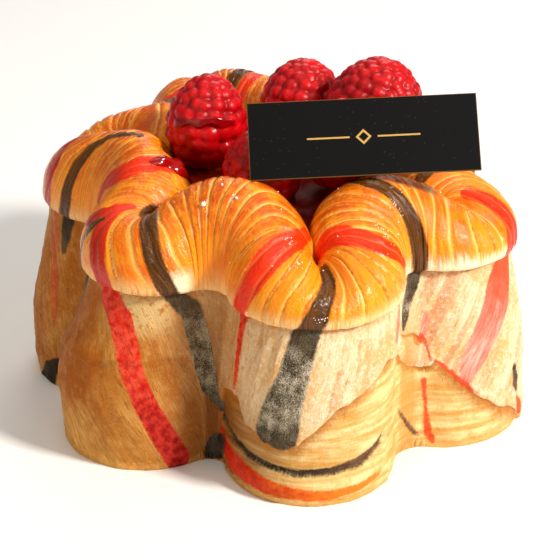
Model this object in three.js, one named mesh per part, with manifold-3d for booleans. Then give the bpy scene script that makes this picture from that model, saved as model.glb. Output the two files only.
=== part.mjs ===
// Fruit pastry ring, in millimetres, +Z up. A single band of laminated dough stands on edge and winds in and
// out round a well of raspberry jam, so that it makes six round lobes with a notch between each two. Five
// raspberries sit in the jam, and a plain card leans on two of them and on the crest of the band.
// The origin is on the flat underside, at the middle of the well. The front lobe points towards -Y.

import * as THREE from "three";
import { mergeVertices } from "three/addons/utils/BufferGeometryUtils.js";
import Module from "manifold-3d";

const wasm = await Module();
wasm.setup();

// ---- Driving dimensions ----

// The lobes, going round from the front towards +X. The band follows one line at its foot and another at its
// cap, the browned top. Each gives the angle from the front in degrees, how far the lobe reaches from the
// middle, and the radius of the fold at its tip. tip is the height of the crest there.
const LOBES = [
  { foot: [9.2, 59.2, 8.8], cap: [10.7, 57.2, 8.9], tip: 52 },
  { foot: [65.6, 59, 9.6], cap: [69.5, 54.2, 8], tip: 52 },
  { foot: [131, 59, 9.5], cap: [131, 56.4, 8.6], tip: 56 },
  { foot: [200, 60.5, 9.5], cap: [202, 57.5, 9.2], tip: 59.6 },
  { foot: [262.5, 59.5, 10.6], cap: [253, 56.6, 9], tip: 56 },
  { foot: [310.5, 58.8, 9.5], cap: [314, 52.4, 7.2], tip: 52.5 },
];

// Where the band turns back near the well, after each lobe: the distance of each line from the middle, the
// height of the crest, half the thickness on the side of the well, and the share by which the outer half of
// the band thins.
const BENDS = [
  { foot: 36, cap: 32.5, crest: 60.2, inner: 10, waist: 0 },
  { foot: 34.5, cap: 34.5, crest: 57.6, inner: 7.6, waist: 0.34 },
  { foot: 33.5, cap: 33.5, crest: 60.5, inner: 8.2, waist: 0.34 },
  { foot: 33.5, cap: 32.8, crest: 60.8, inner: 8.8, waist: 0.1 },
  { foot: 32.5, cap: 32.5, crest: 62.6, inner: 9, waist: 0 },
  { foot: 33, cap: 32.5, crest: 62.5, inner: 10, waist: 0 },
];
const BAND_FOOT = 10.3; // half the thickness of the band at its foot, which sets how far a lobe reaches
const BAND_CAP = 9.2; // the same at the lower edge of the cap
const LEAN = [15, 43]; // the heights between which the line of the band changes from foot to cap
const NOTCH_LEAST = 0.6; // the tightest a notch closes, on each side
const NOTCH_EASE = 4.5; // how far from a notch the band is back to its full thickness

// The outer face of the band, from the bottom up: height, then half the thickness there. The dough
// bulges at the foot, draws in to a neck, and steps out under the cap.
const UNDERSIDE = [
  [-2, 8.6],
  [0.8, 9.9],
  [4, 10.4],
];
const SEAM_HALF = 10.3; // half the thickness at the seam between the lower layers and the flap over them
const SEAM_GAP = 1; // the height of the seam's step
const UPPER_FACE = [
  [31, 9.6],
  [39.6, 8.5],
  [41, 9.2],
  [43, 9.5],
];
const WELL_FACE = 8.2; // half the thickness on the side of the well, inside a fold
// Next to a fold the two arms of a lobe press together, so the band is thicker on the side of the well there:
// pairs of the distance from the fold and the half thickness.
const CREASE_FILL = [
  [0, 8.2],
  [3, 10.4],
  [5, 11.2],
  [7, 11.9],
  [9, 12.4],
  [11, 11.6],
  [14, 0],
];
const CREASE_LEAST = 0.4; // the tightest a crease closes inside a fold, on each side
const WELL_FACE_TOP = 46; // where the rounded top meets the well's side
const CREST_SHIFT = -1.2; // the crest lies a little nearer to the well than the middle of the band
const TOP_ANGLES = [18, 38, 58, 78, 98, 118, 140, 162]; // degrees over the rounded top, from outside to well
const TIP_DIP = 3; // how far the crest sinks where the band folds at a tip
const TIP_DIP_WIDTH = 3.6;

// Where a flap of dough ends on the face of a lobe: the lobe, then pairs of the share of the way through
// its fold and the height of the flap's ragged edge, and how far the flap stands out.
const FLAPS = [
  {
    lobe: 0,
    edge: [
      [0, 17],
      [0.18, 20],
      [0.25, 16.7],
      [0.32, 14.8],
      [0.39, 15.2],
      [0.45, 18.5],
      [0.5, 23.5],
      [0.8, 25],
      [1, 17],
    ],
    step: 0.7,
  },
  {
    lobe: 1,
    edge: [
      [0, 20],
      [0.06, 21],
      [0.14, 16.5],
      [0.23, 12.2],
      [0.36, 6],
      [0.7, 5.4],
      [1, 17],
    ],
    step: 0.6,
  },
];
const SEAM_HEIGHT = 17; // on the lobes that have no flap, where the seam's two rows carry no step

const RIDGES = 102; // the cut layers that cross the band all round the ring
const RIDGE_JITTER = 0.3; // as a share of one ridge
const GROOVE_TOP = 0.6; // how deep the grooves between the ridges are on the cap
const GROOVE_SIDE = 0.2;

const FLOOR_TOP = 49.5; // the dough inside the band, below the creases
const WELL = { floor: 28, floorRadius: 15, rimRadius: 22.4, rimHeight: 49.5 };
const JAM = { rimHeight: 50.2, crown: 52, clearance: 0.4, dent: 0.3 };

// The raspberries: middle, largest radius, half the height, lean in degrees towards +X and +Y, and a turn.
const BERRIES = [
  { name: "raspberry_left", at: [-16.9, 3.2, 62.5], radius: 8.9, half: 10.5, lean: [-4, 3], turn: 10 },
  { name: "raspberry_back", at: [5.6, 18, 61.5], radius: 8.4, half: 9.8, lean: [3, 8], turn: 75 },
  { name: "raspberry_right", at: [21.7, 5.8, 65], radius: 9.7, half: 10.4, lean: [14, -6], turn: 140 },
  { name: "raspberry_front", at: [-3.8, -14.8, 58.6], radius: 7.9, half: 8.4, lean: [2, -8], turn: 200 },
  { name: "raspberry_hidden", at: [13.3, -12.6, 63.1], radius: 8, half: 9.4, lean: [6, 2], turn: 260 },
];
const DRUPELET_PITCH = 3.5;
const DRUPELET_HEIGHT = 0.8;
const BERRY_SEGMENTS = [24, 15];

// The card: width, height, thickness, then the middle of its lower edge, its lean back and its tilt.
const CARD = { width: 48.6, height: 16.9, thick: 0.6, foot: [18, -26.3, 61.6], lean: 52, tilt: 2.8 };

// ---- Small helpers ----

const radians = THREE.MathUtils.degToRad;
const facing = (angle) => new THREE.Vector2(Math.sin(radians(angle)), -Math.cos(radians(angle)));

// A repeatable number from 0 to 1 for each whole number.
function scatter(index, salt = 0) {
  const wave = Math.sin(index * 12.9898 + salt * 78.233) * 43758.5453;
  return wave - Math.floor(wave);
}

// A three.js geometry as a solid that can be joined and cut.
function solid(geometry) {
  const bare = geometry.index ? geometry.toNonIndexed() : geometry.clone();
  const positions = new THREE.BufferGeometry().setAttribute("position", bare.getAttribute("position"));
  const merged = mergeVertices(positions, 1e-4);
  return new wasm.Manifold(
    new wasm.Mesh({
      numProp: 3,
      vertProperties: new Float32Array(merged.attributes.position.array),
      triVerts: new Uint32Array(merged.index.array),
    }),
  );
}

// The value at a place in a table of pairs, on straight lines between them.
function between(table, at) {
  const k = table.findIndex(([place]) => place >= at);
  if (k < 1) return table[k < 0 ? table.length - 1 : 0][1];
  const [[from, low], [to, high]] = [table[k - 1], table[k]];
  return low + ((high - low) * (at - from)) / (to - from);
}

// A solid as a geometry that three.js can draw.
function geometryOf(body) {
  const mesh = body.getMesh();
  const positions = new Float32Array(mesh.numVert * 3);
  for (let i = 0; i < mesh.numVert; i++)
    positions.set(mesh.vertProperties.subarray(i * mesh.numProp, i * mesh.numProp + 3), i * 3);
  const geometry = new THREE.BufferGeometry();
  geometry.setAttribute("position", new THREE.BufferAttribute(positions, 3));
  geometry.setIndex(new THREE.BufferAttribute(new Uint32Array(mesh.triVerts), 1));
  geometry.computeVertexNormals();
  return geometry;
}

// A closed surface from rings of points, each ring joined to the next and the last to the first.
function loopedSurface(rings) {
  const across = rings[0].length;
  const positions = rings.flat(2);
  const faces = [];
  for (let i = 0; i < rings.length; i++) {
    const here = i * across;
    const next = ((i + 1) % rings.length) * across;
    for (let j = 0; j < across; j++) {
      const k = (j + 1) % across;
      faces.push(here + j, next + j, next + k, here + j, next + k, here + k);
    }
  }
  const geometry = new THREE.BufferGeometry();
  geometry.setAttribute("position", new THREE.Float32BufferAttribute(positions, 3));
  geometry.setIndex(faces);
  return geometry;
}

// ---- The two lines that the middle of the band follows, made of arcs ----

// The arc between two folds touches both from outside, and comes within reach of the middle.
function bendBetween(fold, next, reach) {
  const [a, b] = [fold.centre, next.centre];
  const apart = a.distanceTo(b);
  const along = b.clone().sub(a).divideScalar(apart);
  const outward = new THREE.Vector2(along.y, -along.x);
  if (outward.dot(a) < 0) outward.negate();
  // The centre lies radius + fold.radius from one fold and radius + next.radius from the other.
  const centreFor = (radius) => {
    const [one, two] = [radius + fold.radius, radius + next.radius];
    const shift = (one * one - two * two + apart * apart) / (2 * apart);
    const rise = Math.sqrt(one * one - shift * shift);
    return a.clone().addScaledVector(along, shift).addScaledVector(outward, rise);
  };
  let low = (apart - fold.radius - next.radius) / 2 + 0.001;
  let high = 60;
  for (let i = 0; i < 60; i++) {
    const radius = (low + high) / 2;
    if (centreFor(radius).length() - radius > reach) high = radius;
    else low = radius;
  }
  return { centre: centreFor(low), radius: low };
}

// Each arc: its centre and radius, the angle it starts at, how far it turns, which way is outwards, and the
// height of the crest half way along it.
function bandArcs(level, half) {
  const folds = LOBES.map(({ [level]: [angle, reach, radius] }) => {
    return { centre: facing(angle).multiplyScalar(reach - radius - half), radius };
  });
  const after = (k) => (k + 1) % folds.length;
  const bends = folds.map((fold, k) => bendBetween(fold, folds[after(k)], BENDS[k][level]));
  const arcs = [];
  folds.forEach((fold, k) => {
    const [last, bend] = [bends[(k + bends.length - 1) % bends.length], bends[k]];
    const start = last.centre.clone().sub(fold.centre).angle();
    const turn = (bend.centre.clone().sub(fold.centre).angle() - start + 4 * Math.PI) % (2 * Math.PI);
    arcs.push({ ...fold, start, turn, out: 1, crest: LOBES[k].tip });
    const bendStart = fold.centre.clone().sub(bend.centre).angle();
    const bendEnd = folds[after(k)].centre.clone().sub(bend.centre).angle();
    const bendTurn = (bendStart - bendEnd + 4 * Math.PI) % (2 * Math.PI);
    arcs.push({ ...BENDS[k], ...bend, start: bendStart, turn: -bendTurn, out: -1 });
  });
  let along = 0;
  for (const arc of arcs) {
    arc.from = along;
    arc.length = arc.radius * Math.abs(arc.turn);
    along += arc.length;
  }
  return arcs;
}

const FOOT_ARCS = bandArcs("foot", BAND_FOOT);
const CAP_ARCS = bandArcs("cap", BAND_CAP);
const BAND_LENGTH = CAP_ARCS.reduce((sum, arc) => sum + arc.length, 0);

function pointOn(arc, share) {
  const angle = arc.start + arc.turn * share;
  const ray = new THREE.Vector2(Math.cos(angle), Math.sin(angle));
  return { centre: arc.centre, radius: arc.radius, ray, out: arc.out };
}

// The place at a distance along the band: which arc, how far through it, and the point on each line.
function bandAt(distance) {
  const along = ((distance % BAND_LENGTH) + BAND_LENGTH) % BAND_LENGTH;
  const index = CAP_ARCS.findLastIndex((arc) => arc.from <= along);
  const arc = CAP_ARCS[index];
  const share = (along - arc.from) / arc.length;
  const toNotch = arc.out < 0 ? 0 : Math.min(share, 1 - share) * arc.length;
  const notchIndex = (index + (share < 0.5 ? CAP_ARCS.length - 1 : 1)) % CAP_ARCS.length;
  const lines = [FOOT_ARCS, CAP_ARCS].map((arcs) => {
    return { ...pointOn(arcs[index], share), notch: (arc.out < 0 ? arcs[index] : arcs[notchIndex]).radius };
  });
  return { index, share, arc, toNotch, lines };
}

// The band is drawn in towards a notch, so that its two sides do not run into each other, and keeps out of
// the crease inside a fold.
function held(offset, line, toNotch) {
  if (offset > 0) {
    const over = Math.max(0, offset - (line.notch - NOTCH_LEAST));
    return offset - over * Math.exp(-((toNotch / NOTCH_EASE) ** 2));
  }
  return line.out > 0 ? Math.max(offset, CREASE_LEAST - line.radius) : offset;
}

// A point of the band: offset outwards from its middle at a height, between the foot's line and the cap's.
function bandPoint({ lines, toNotch, arc, share }, offset, height) {
  const lean = THREE.MathUtils.smoothstep(height, ...LEAN);
  const thin = offset > 0 && arc.out < 0 ? 1 - arc.waist * Math.sin(Math.PI * share) ** 2 : 1;
  const [foot, cap] = lines.map((line) => {
    const reach = line.radius + line.out * held(offset * thin, line, toNotch);
    return line.centre.clone().addScaledVector(line.ray, reach);
  });
  const { x, y } = foot.lerp(cap, lean);
  return [x, y, height];
}

// From 0 at the middle of a fold to 1 at the middle of a bend.
function towardsBend({ arc, index, share }) {
  const next = CAP_ARCS[(index + (share < 0.5 ? CAP_ARCS.length - 1 : 1)) % CAP_ARCS.length];
  const toMiddle = Math.abs(share - 0.5) * arc.length;
  const blend = (1 - Math.cos((Math.PI * toMiddle) / ((arc.length + next.length) / 2))) / 2;
  return { blend: arc.out > 0 ? blend : 1 - blend, toMiddle, next };
}

// The crest rises and falls smoothly between the tips and the bends, and dips at each tip.
function crestAt(place) {
  const { blend, toMiddle, next } = towardsBend(place);
  const [tip, bend] = place.arc.out > 0 ? [place.arc.crest, next.crest] : [next.crest, place.arc.crest];
  const fromTip = place.arc.out > 0 ? toMiddle : 1000;
  return tip + (bend - tip) * blend - TIP_DIP * Math.exp(-((fromTip / TIP_DIP_WIDTH) ** 2));
}

// Half the thickness on the side of the well.
function wellHalf({ arc, share }) {
  if (arc.out > 0) return WELL_FACE;
  const fromFold = Math.min(share, 1 - share) * arc.length;
  return Math.max(between(CREASE_FILL, fromFold), Math.min(arc.inner, WELL_FACE + fromFold));
}

// The height of the flap's edge at a place, and how far the flap stands out there.
function flapAt({ index, share }) {
  const flap = FLAPS.find(({ lobe }) => lobe * 2 === index);
  if (!flap) return { height: SEAM_HEIGHT, step: 0 };
  return { height: between(flap.edge, share), step: flap.step };
}

// ---- The pastry ring ----

// One slice across the band, round from the underside over the crest to the well's side.
function slice(place, groove) {
  const crest = crestAt(place) - groove * GROOVE_TOP;
  const flap = flapAt(place);
  const seam = [
    [flap.height - SEAM_GAP / 2, SEAM_HALF - flap.step],
    [flap.height + SEAM_GAP / 2, SEAM_HALF],
  ];
  const outer = [...UNDERSIDE, ...seam, ...UPPER_FACE];
  const points = outer.map(([height, half]) => bandPoint(place, half - groove * GROOVE_SIDE, height));
  const [lipHeight, lipHalf] = UPPER_FACE[UPPER_FACE.length - 1];
  const inner = wellHalf(place);
  for (const degrees of TOP_ANGLES) {
    const angle = radians(degrees);
    const outside = degrees < 90;
    const base = outside ? lipHeight : WELL_FACE_TOP;
    const reach = outside ? lipHalf - CREST_SHIFT : inner + CREST_SHIFT;
    const offset = CREST_SHIFT + reach * Math.cos(angle);
    points.push(bandPoint(place, offset, base + (crest - base) * Math.sin(angle)));
  }
  points.push(bandPoint(place, -inner, WELL_FACE_TOP), bandPoint(place, -inner, UNDERSIDE[0][0]));
  return points;
}

function band() {
  const rings = [];
  const pitch = BAND_LENGTH / RIDGES;
  const edges = Array.from({ length: RIDGES }, (_, i) => (i + RIDGE_JITTER * (scatter(i) - 0.5)) * pitch);
  edges.forEach((edge, i) => {
    const next = i + 1 < RIDGES ? edges[i + 1] : edges[0] + BAND_LENGTH;
    rings.push(slice(bandAt(edge), 1), slice(bandAt((edge + next) / 2), 0));
  });
  return solid(loopedSurface(rings));
}

// The dough inside the band, which fills the creases below their visible depth.
function core() {
  const corners = Array.from({ length: 144 }, (_, i) => {
    const [x, y] = bandPoint(bandAt((i * BAND_LENGTH) / 144), 0, LEAN[1]);
    return new THREE.Vector2(x, y);
  });
  const under = UNDERSIDE[0][0];
  const upright = { depth: FLOOR_TOP - under, bevelEnabled: false };
  const block = new THREE.ExtrudeGeometry(new THREE.Shape(corners), upright);
  return solid(block.translate(0, 0, under));
}

// The well narrows towards its floor. grow is a clearance taken off its wall and floor.
function wellProfile(grow, top) {
  const { floor, floorRadius, rimRadius, rimHeight } = WELL;
  const profile = [new THREE.Vector2(0, floor + grow), new THREE.Vector2(floorRadius - grow, floor + grow)];
  for (const share of [0.35, 0.7, 1]) {
    const radius = floorRadius + (rimRadius - floorRadius) * Math.sin((share * Math.PI) / 2);
    const height = floor + (rimHeight - floor) * share;
    profile.push(new THREE.Vector2(radius - grow, share < 1 ? height + grow : height));
  }
  return profile.concat(top);
}

function turned(profile, segments) {
  return new THREE.LatheGeometry(profile, segments).rotateX(Math.PI / 2);
}

function pastry() {
  const open = [new THREE.Vector2(WELL.rimRadius, FLOOR_TOP + 1), new THREE.Vector2(0, FLOOR_TOP + 1)];
  const well = solid(turned(wellProfile(0, open), 40));
  const below = solid(new THREE.BoxGeometry(200, 200, 20).translate(0, 0, -10));
  return band().add(core()).subtract(well).subtract(below);
}

// ---- Raspberries ----

// Rows of drupelets from the tip down, each row turned by half a place from the one above.
function drupelets(radius, half, grow) {
  const rows = Math.round((Math.PI * (half + radius) * 0.5) / DRUPELET_PITCH);
  const centres = [];
  for (let row = 0; row <= rows; row++) {
    const polar = (Math.PI * (row + 0.1)) / (rows + 0.2);
    const count = Math.max(1, Math.round((2 * Math.PI * radius * Math.sin(polar)) / DRUPELET_PITCH));
    for (let i = 0; i < count; i++) {
      const turn = (2 * Math.PI * (i + (row % 2) / 2 + 0.2 * (scatter(i + 31 * row, grow) - 0.5))) / count;
      const flat = Math.sin(polar);
      centres.push(new THREE.Vector3(flat * Math.cos(turn), flat * Math.sin(turn), Math.cos(polar)));
    }
  }
  return centres;
}

function berry({ radius, half, turn }) {
  const geometry = new THREE.SphereGeometry(1, ...BERRY_SEGMENTS).rotateX(Math.PI / 2);
  const centres = drupelets(radius, half, turn);
  const place = geometry.attributes.position;
  const ray = new THREE.Vector3();
  for (let i = 0; i < place.count; i++) {
    ray.fromBufferAttribute(place, i).normalize();
    const nearest = Math.min(...centres.map((centre) => centre.distanceTo(ray))) * radius;
    const share = Math.min(1, nearest / (DRUPELET_PITCH * 0.62));
    const bump = DRUPELET_HEIGHT * Math.sqrt(1 - share * share);
    const taper = 1 - 0.14 * ray.z;
    place.setXYZ(
      i,
      ray.x * (radius * taper + bump),
      ray.y * (radius * taper + bump),
      ray.z * (half + bump),
    );
  }
  return mergeVertices(geometry.deleteAttribute("normal").deleteAttribute("uv"), 1e-3);
}

function berryTurn({ lean, turn }) {
  const [leanX, leanY] = lean.map(radians);
  return new THREE.Euler(-leanY, leanX, radians(turn), "XYZ");
}

// ---- Jam ----

// The jam fills the well to a low mound, with a dent under each raspberry.
function jam() {
  const { rimRadius } = WELL;
  const mound = [];
  for (const share of [0, 0.3, 0.6, 0.85, 1]) {
    const height = JAM.rimHeight + (JAM.crown - JAM.rimHeight) * Math.sin((share * Math.PI) / 2);
    mound.push(new THREE.Vector2((rimRadius - JAM.clearance) * (1 - share), height));
  }
  let body = solid(turned(wellProfile(JAM.clearance, mound), 40));
  for (const { at, radius, half, lean, turn } of BERRIES) {
    const room = JAM.dent + DRUPELET_HEIGHT;
    const dent = new THREE.SphereGeometry(1, 20, 14).rotateX(Math.PI / 2);
    dent.scale(radius * 1.14 + room, radius * 1.14 + room, half + room);
    const place = new THREE.Matrix4().makeRotationFromEuler(berryTurn({ lean, turn })).setPosition(...at);
    body = body.subtract(solid(dent.applyMatrix4(place)));
  }
  return body;
}

// ---- The object ----

function named(name, geometry, colour, roughness) {
  const material = new THREE.MeshStandardMaterial({ color: colour, roughness, metalness: 0 });
  const mesh = new THREE.Mesh(geometry, material);
  mesh.name = name;
  return mesh;
}

const group = new THREE.Group();
group.add(named("pastry_ring", geometryOf(pastry()), 0xd98a32, 0.35));
group.add(named("jam", geometryOf(jam()), 0x5a0610, 0.12));

for (const each of BERRIES) {
  const mesh = named(each.name, berry(each), 0xc0182c, 0.35);
  mesh.position.set(...each.at);
  mesh.rotation.copy(berryTurn(each));
  group.add(mesh);
}

const card = named("card", new THREE.BoxGeometry(CARD.width, CARD.height, CARD.thick), 0x17181a, 0.55);
card.geometry.translate(0, CARD.height / 2, 0);
card.position.set(...CARD.foot);
card.rotation.set(radians(CARD.lean), 0, 0);
card.rotateZ(radians(CARD.tilt));
group.add(card);

export default group;
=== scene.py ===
# %% [markdown]
# # A fruit pastry ring
# A band of layered dough stands on edge and winds in and out round a well of jam. Raspberries sit in the
# jam, and a small black card leans on them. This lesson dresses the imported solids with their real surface:
# the baked ridges, the pale fibrous sides, the coloured stripes, the wet jam and the beaded berries.

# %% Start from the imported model
import math
import random

import bmesh
import bpy
import numpy as np
from mathutils import Matrix, Vector


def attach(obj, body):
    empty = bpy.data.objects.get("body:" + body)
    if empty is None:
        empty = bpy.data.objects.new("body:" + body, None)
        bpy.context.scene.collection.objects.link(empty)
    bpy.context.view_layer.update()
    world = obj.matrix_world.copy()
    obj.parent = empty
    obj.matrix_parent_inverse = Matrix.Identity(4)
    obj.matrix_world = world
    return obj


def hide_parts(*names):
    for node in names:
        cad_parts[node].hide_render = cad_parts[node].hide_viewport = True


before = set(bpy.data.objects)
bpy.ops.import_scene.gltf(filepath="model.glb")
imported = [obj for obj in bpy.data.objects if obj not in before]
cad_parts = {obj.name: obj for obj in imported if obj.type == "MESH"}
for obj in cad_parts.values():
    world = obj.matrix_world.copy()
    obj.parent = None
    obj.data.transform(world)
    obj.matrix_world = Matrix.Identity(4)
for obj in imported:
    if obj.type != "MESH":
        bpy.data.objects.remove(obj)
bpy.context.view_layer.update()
MM = 0.001
print("solids:", sorted(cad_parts))

# %% [markdown]
# ## The camera
# The photograph looks down on the ring by 27 degrees, from the side of the front lobe. A long lens from
# 38 cm away gives the mild perspective that the picture has. The camera is placed on a circle round a
# target half way up the ring, so its distance and its height can be changed one at a time.

# %% Camera
LOOK_DOWN = math.radians(27)
TARGET = Vector((0, 0, 23.7)) * MM
CAMERA_DISTANCE = 0.38
back = Vector((0, -math.cos(LOOK_DOWN), math.sin(LOOK_DOWN)))
bpy.ops.object.camera_add(location=TARGET + back * CAMERA_DISTANCE, rotation=(math.pi / 2 - LOOK_DOWN, 0, 0))
camera = bpy.context.object
camera.data.sensor_width = 36
camera.data.lens = 36 * 1620 / 560
camera.data.clip_start = 0.01
bpy.context.scene.camera = camera
print("camera at", [round(v, 3) for v in camera.location])

# %% [markdown]
# ## Small helpers
# Nearly every piece here starts from one of Blender's primitives, whose vertices are then moved. Operators
# act on all that is selected, so each new piece starts from an empty selection.

# %% Helpers for pieces
def nothing_selected():
    bpy.ops.object.select_all(action="DESELECT")


def points_of(piece):
    flat = np.empty(len(piece.data.vertices) * 3)
    piece.data.vertices.foreach_get("co", flat)
    return flat.reshape(-1, 3)


def set_points(piece, points):
    piece.data.vertices.foreach_set("co", np.asarray(points, float).ravel())
    piece.data.update()


def paint_values(piece, name, values):
    """One number for each vertex, which a material can read by its name."""
    layer = piece.data.attributes.new(name, "FLOAT", "POINT")
    layer.data.foreach_set("value", np.asarray(values, np.float32).ravel())


def paint_vectors(piece, name, values):
    layer = piece.data.attributes.new(name, "FLOAT_VECTOR", "POINT")
    layer.data.foreach_set("vector", np.asarray(values, np.float32).ravel())


def finish_piece(piece, name, slot, material, *nodes):
    """Names the piece, gives it its material, hangs it under the root, and hides the solids that it stands for."""
    piece.name = name
    piece.data.name = name
    piece.data.materials.clear()
    piece.data.materials.append(material)
    for face in piece.data.polygons:
        face.use_smooth = True
    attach(piece, "root")
    if nodes:
        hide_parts(*nodes)
    print(name, "-", len(piece.data.polygons), "faces")
    return piece


def smooth(low, high, value):
    share = np.clip((np.asarray(value, float) - low) / (high - low), 0, 1)
    return share * share * (3 - 2 * share)


# %% [markdown]
# ## The line of the band
# The dough was cut in one long strip and stood on edge in a fluted tin, so its middle follows a line of
# arcs: a tight fold at the tip of each lobe, and a bend near the well between each two. The strip flares
# outwards below, so there are two such lines, one at the foot and one at the cap, and every height in
# between lies on a blend of the two. These are the same numbers that the solid was made from.

# %% Lobes and bends, in millimetres
# Each line of a lobe: angle from the front towards +X, how far it reaches, radius of its fold.
LOBES = [
    dict(foot=(9.2, 59.2, 8.8), cap=(10.7, 57.2, 8.9), tip=52),
    dict(foot=(65.6, 59, 9.6), cap=(69.5, 54.2, 8), tip=52),
    dict(foot=(131, 59, 9.5), cap=(131, 56.4, 8.6), tip=56),
    dict(foot=(200, 60.5, 9.5), cap=(202, 57.5, 9.2), tip=59.6),
    dict(foot=(262.5, 59.5, 10.6), cap=(253, 56.6, 9), tip=56),
    dict(foot=(310.5, 58.8, 9.5), cap=(314, 52.4, 7.2), tip=54.4, dip=0.6),
]
# After each lobe: the lines' distances from the middle, the crest's height, half the thickness to the well,
# and the share by which the outer half thins.
BENDS = [
    dict(foot=36, cap=32.5, crest=60.2, inner=10, waist=0),
    dict(foot=34.5, cap=34.5, crest=57.6, inner=7.6, waist=0.34),
    dict(foot=33.5, cap=33.5, crest=60.5, inner=8.2, waist=0.34),
    dict(foot=33.5, cap=32.8, crest=60.8, inner=8.8, waist=0.1),
    dict(foot=32.5, cap=32.5, crest=62.6, inner=9, waist=0),
    dict(foot=33, cap=32.5, crest=62.5, inner=10, waist=0),
]
BAND_HALF = dict(foot=10.3, cap=9.2)
LEAN = (15, 43)
NOTCH_LEAST, NOTCH_EASE = 0.6, 4.5
CREASE_FILL = [(0, 8.2), (3, 10.4), (5, 11.2), (7, 11.9), (9, 12.4), (11, 11.6), (14, 0)]
CREASE_LEAST = 0.4
WELL_FACE = 8.2
TIP_DIP, TIP_DIP_WIDTH = 3, 3.6


def facing(degrees):
    turn = math.radians(degrees)
    return np.array([math.sin(turn), -math.cos(turn)])


def heading(way):
    return math.atan2(way[1], way[0]) % (2 * math.pi)


def bend_between(fold, following, reach):
    """The arc that touches two folds from outside and comes within reach of the middle."""
    a, b = fold["centre"], following["centre"]
    apart = float(np.linalg.norm(b - a))
    along = (b - a) / apart
    outward = np.array([along[1], -along[0]])
    outward = outward if outward @ a > 0 else -outward

    def centre_for(radius):
        one, two = radius + fold["radius"], radius + following["radius"]
        shift = (one * one - two * two + apart * apart) / (2 * apart)
        return a + along * shift + outward * math.sqrt(one * one - shift * shift)

    low, high = (apart - fold["radius"] - following["radius"]) / 2 + 0.001, 60
    for _ in range(60):
        radius = (low + high) / 2
        if np.linalg.norm(centre_for(radius)) - radius > reach:
            high = radius
        else:
            low = radius
    return dict(centre=centre_for(low), radius=low)


def band_arcs(level):
    folds = []
    for lobe in LOBES:
        degrees, reach, radius = lobe[level]
        folds.append(dict(centre=facing(degrees) * (reach - radius - BAND_HALF[level]), radius=radius))
    count = len(folds)
    bends = [bend_between(folds[k], folds[(k + 1) % count], BENDS[k][level]) for k in range(count)]
    arcs = []
    for k, (fold, bend) in enumerate(zip(folds, bends)):
        after = folds[(k + 1) % count]
        start = heading(bends[k - 1]["centre"] - fold["centre"])
        turn = (heading(bend["centre"] - fold["centre"]) - start) % (2 * math.pi)
        dip = LOBES[k].get("dip", TIP_DIP)
        arcs.append(dict(fold, start=start, turn=turn, out=1, crest=LOBES[k]["tip"], dip=dip, inner=0, waist=0))
        start = heading(fold["centre"] - bend["centre"])
        turn = (start - heading(after["centre"] - bend["centre"])) % (2 * math.pi)
        own = {key: BENDS[k][key] for key in ("crest", "inner", "waist")}
        arcs.append(dict(bend, start=start, turn=-turn, out=-1, **own))
    along = 0
    for arc in arcs:
        arc["from"], arc["length"] = along, arc["radius"] * abs(arc["turn"])
        along += arc["length"]
    return arcs


FOOT_ARCS, CAP_ARCS = band_arcs("foot"), band_arcs("cap")
BAND_LENGTH = sum(arc["length"] for arc in CAP_ARCS)
ARC_STARTS = np.array([arc["from"] for arc in CAP_ARCS])
print("the band is", round(BAND_LENGTH, 1), "mm long on its cap")

# %% [markdown]
# A column is one slice across the band. It knows which arc it is on, how high its crest is, and how thick
# the band is there. In a notch and in a crease the dough is held back, so that its two sides meet and do
# not run through each other.

# %% One column of the band


class Column:
    def __init__(self, distance):
        self.along = distance % BAND_LENGTH
        self.index = int(np.searchsorted(ARC_STARTS, self.along, side="right")) - 1
        arc = self.arc = CAP_ARCS[self.index]
        self.share = (self.along - arc["from"]) / arc["length"]
        self.fold = arc["out"] > 0
        near = (self.index + (-1 if self.share < 0.5 else 1)) % len(CAP_ARCS)
        from_end = min(self.share, 1 - self.share) * arc["length"]
        self.to_notch = from_end if self.fold else 0
        self.lines = []
        for arcs in (FOOT_ARCS, CAP_ARCS):
            own = arcs[self.index]
            angle = own["start"] + own["turn"] * self.share
            ray = np.array([math.cos(angle), math.sin(angle)])
            notch = arcs[near if self.fold else self.index]["radius"]
            self.lines.append((own["centre"], own["radius"], ray, notch))
        to_middle = abs(self.share - 0.5) * arc["length"]
        reach = (arc["length"] + CAP_ARCS[near]["length"]) / 2
        blend = (1 - math.cos(math.pi * to_middle / reach)) / 2
        self.bendness = blend if self.fold else 1 - blend
        tip, bend = (arc, CAP_ARCS[near]) if self.fold else (CAP_ARCS[near], arc)
        self.crest = tip["crest"] + (bend["crest"] - tip["crest"]) * self.bendness
        self.inner = WELL_FACE
        if self.fold:
            self.crest -= arc["dip"] * math.exp(-((to_middle / TIP_DIP_WIDTH) ** 2))
        else:
            fill = float(np.interp(from_end, *zip(*CREASE_FILL)))
            self.inner = max(fill, min(arc["inner"], WELL_FACE + from_end))

    def points(self, offset, height):
        """Points at distances outwards from the middle of the band, at given heights."""
        lean = smooth(*LEAN, height)[:, None]
        waist = self.arc["waist"] * math.sin(math.pi * self.share) ** 2
        offset = np.where(offset > 0, offset * (1 - waist), offset)
        ease = math.exp(-((self.to_notch / NOTCH_EASE) ** 2))
        ends = []
        for centre, radius, ray, notch in self.lines:
            outside = offset - np.maximum(0, offset - (notch - NOTCH_LEAST)) * ease
            inside = np.maximum(offset, CREASE_LEAST - radius) if self.fold else offset
            held = np.where(offset > 0, outside, inside)
            ends.append(centre + ray * (radius + self.arc["out"] * held)[:, None])
        return np.column_stack([ends[0] * (1 - lean) + ends[1] * lean, height])


print("crest over the front lobe:", round(Column(CAP_ARCS[0]["length"] / 2).crest, 1), "mm")

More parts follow.
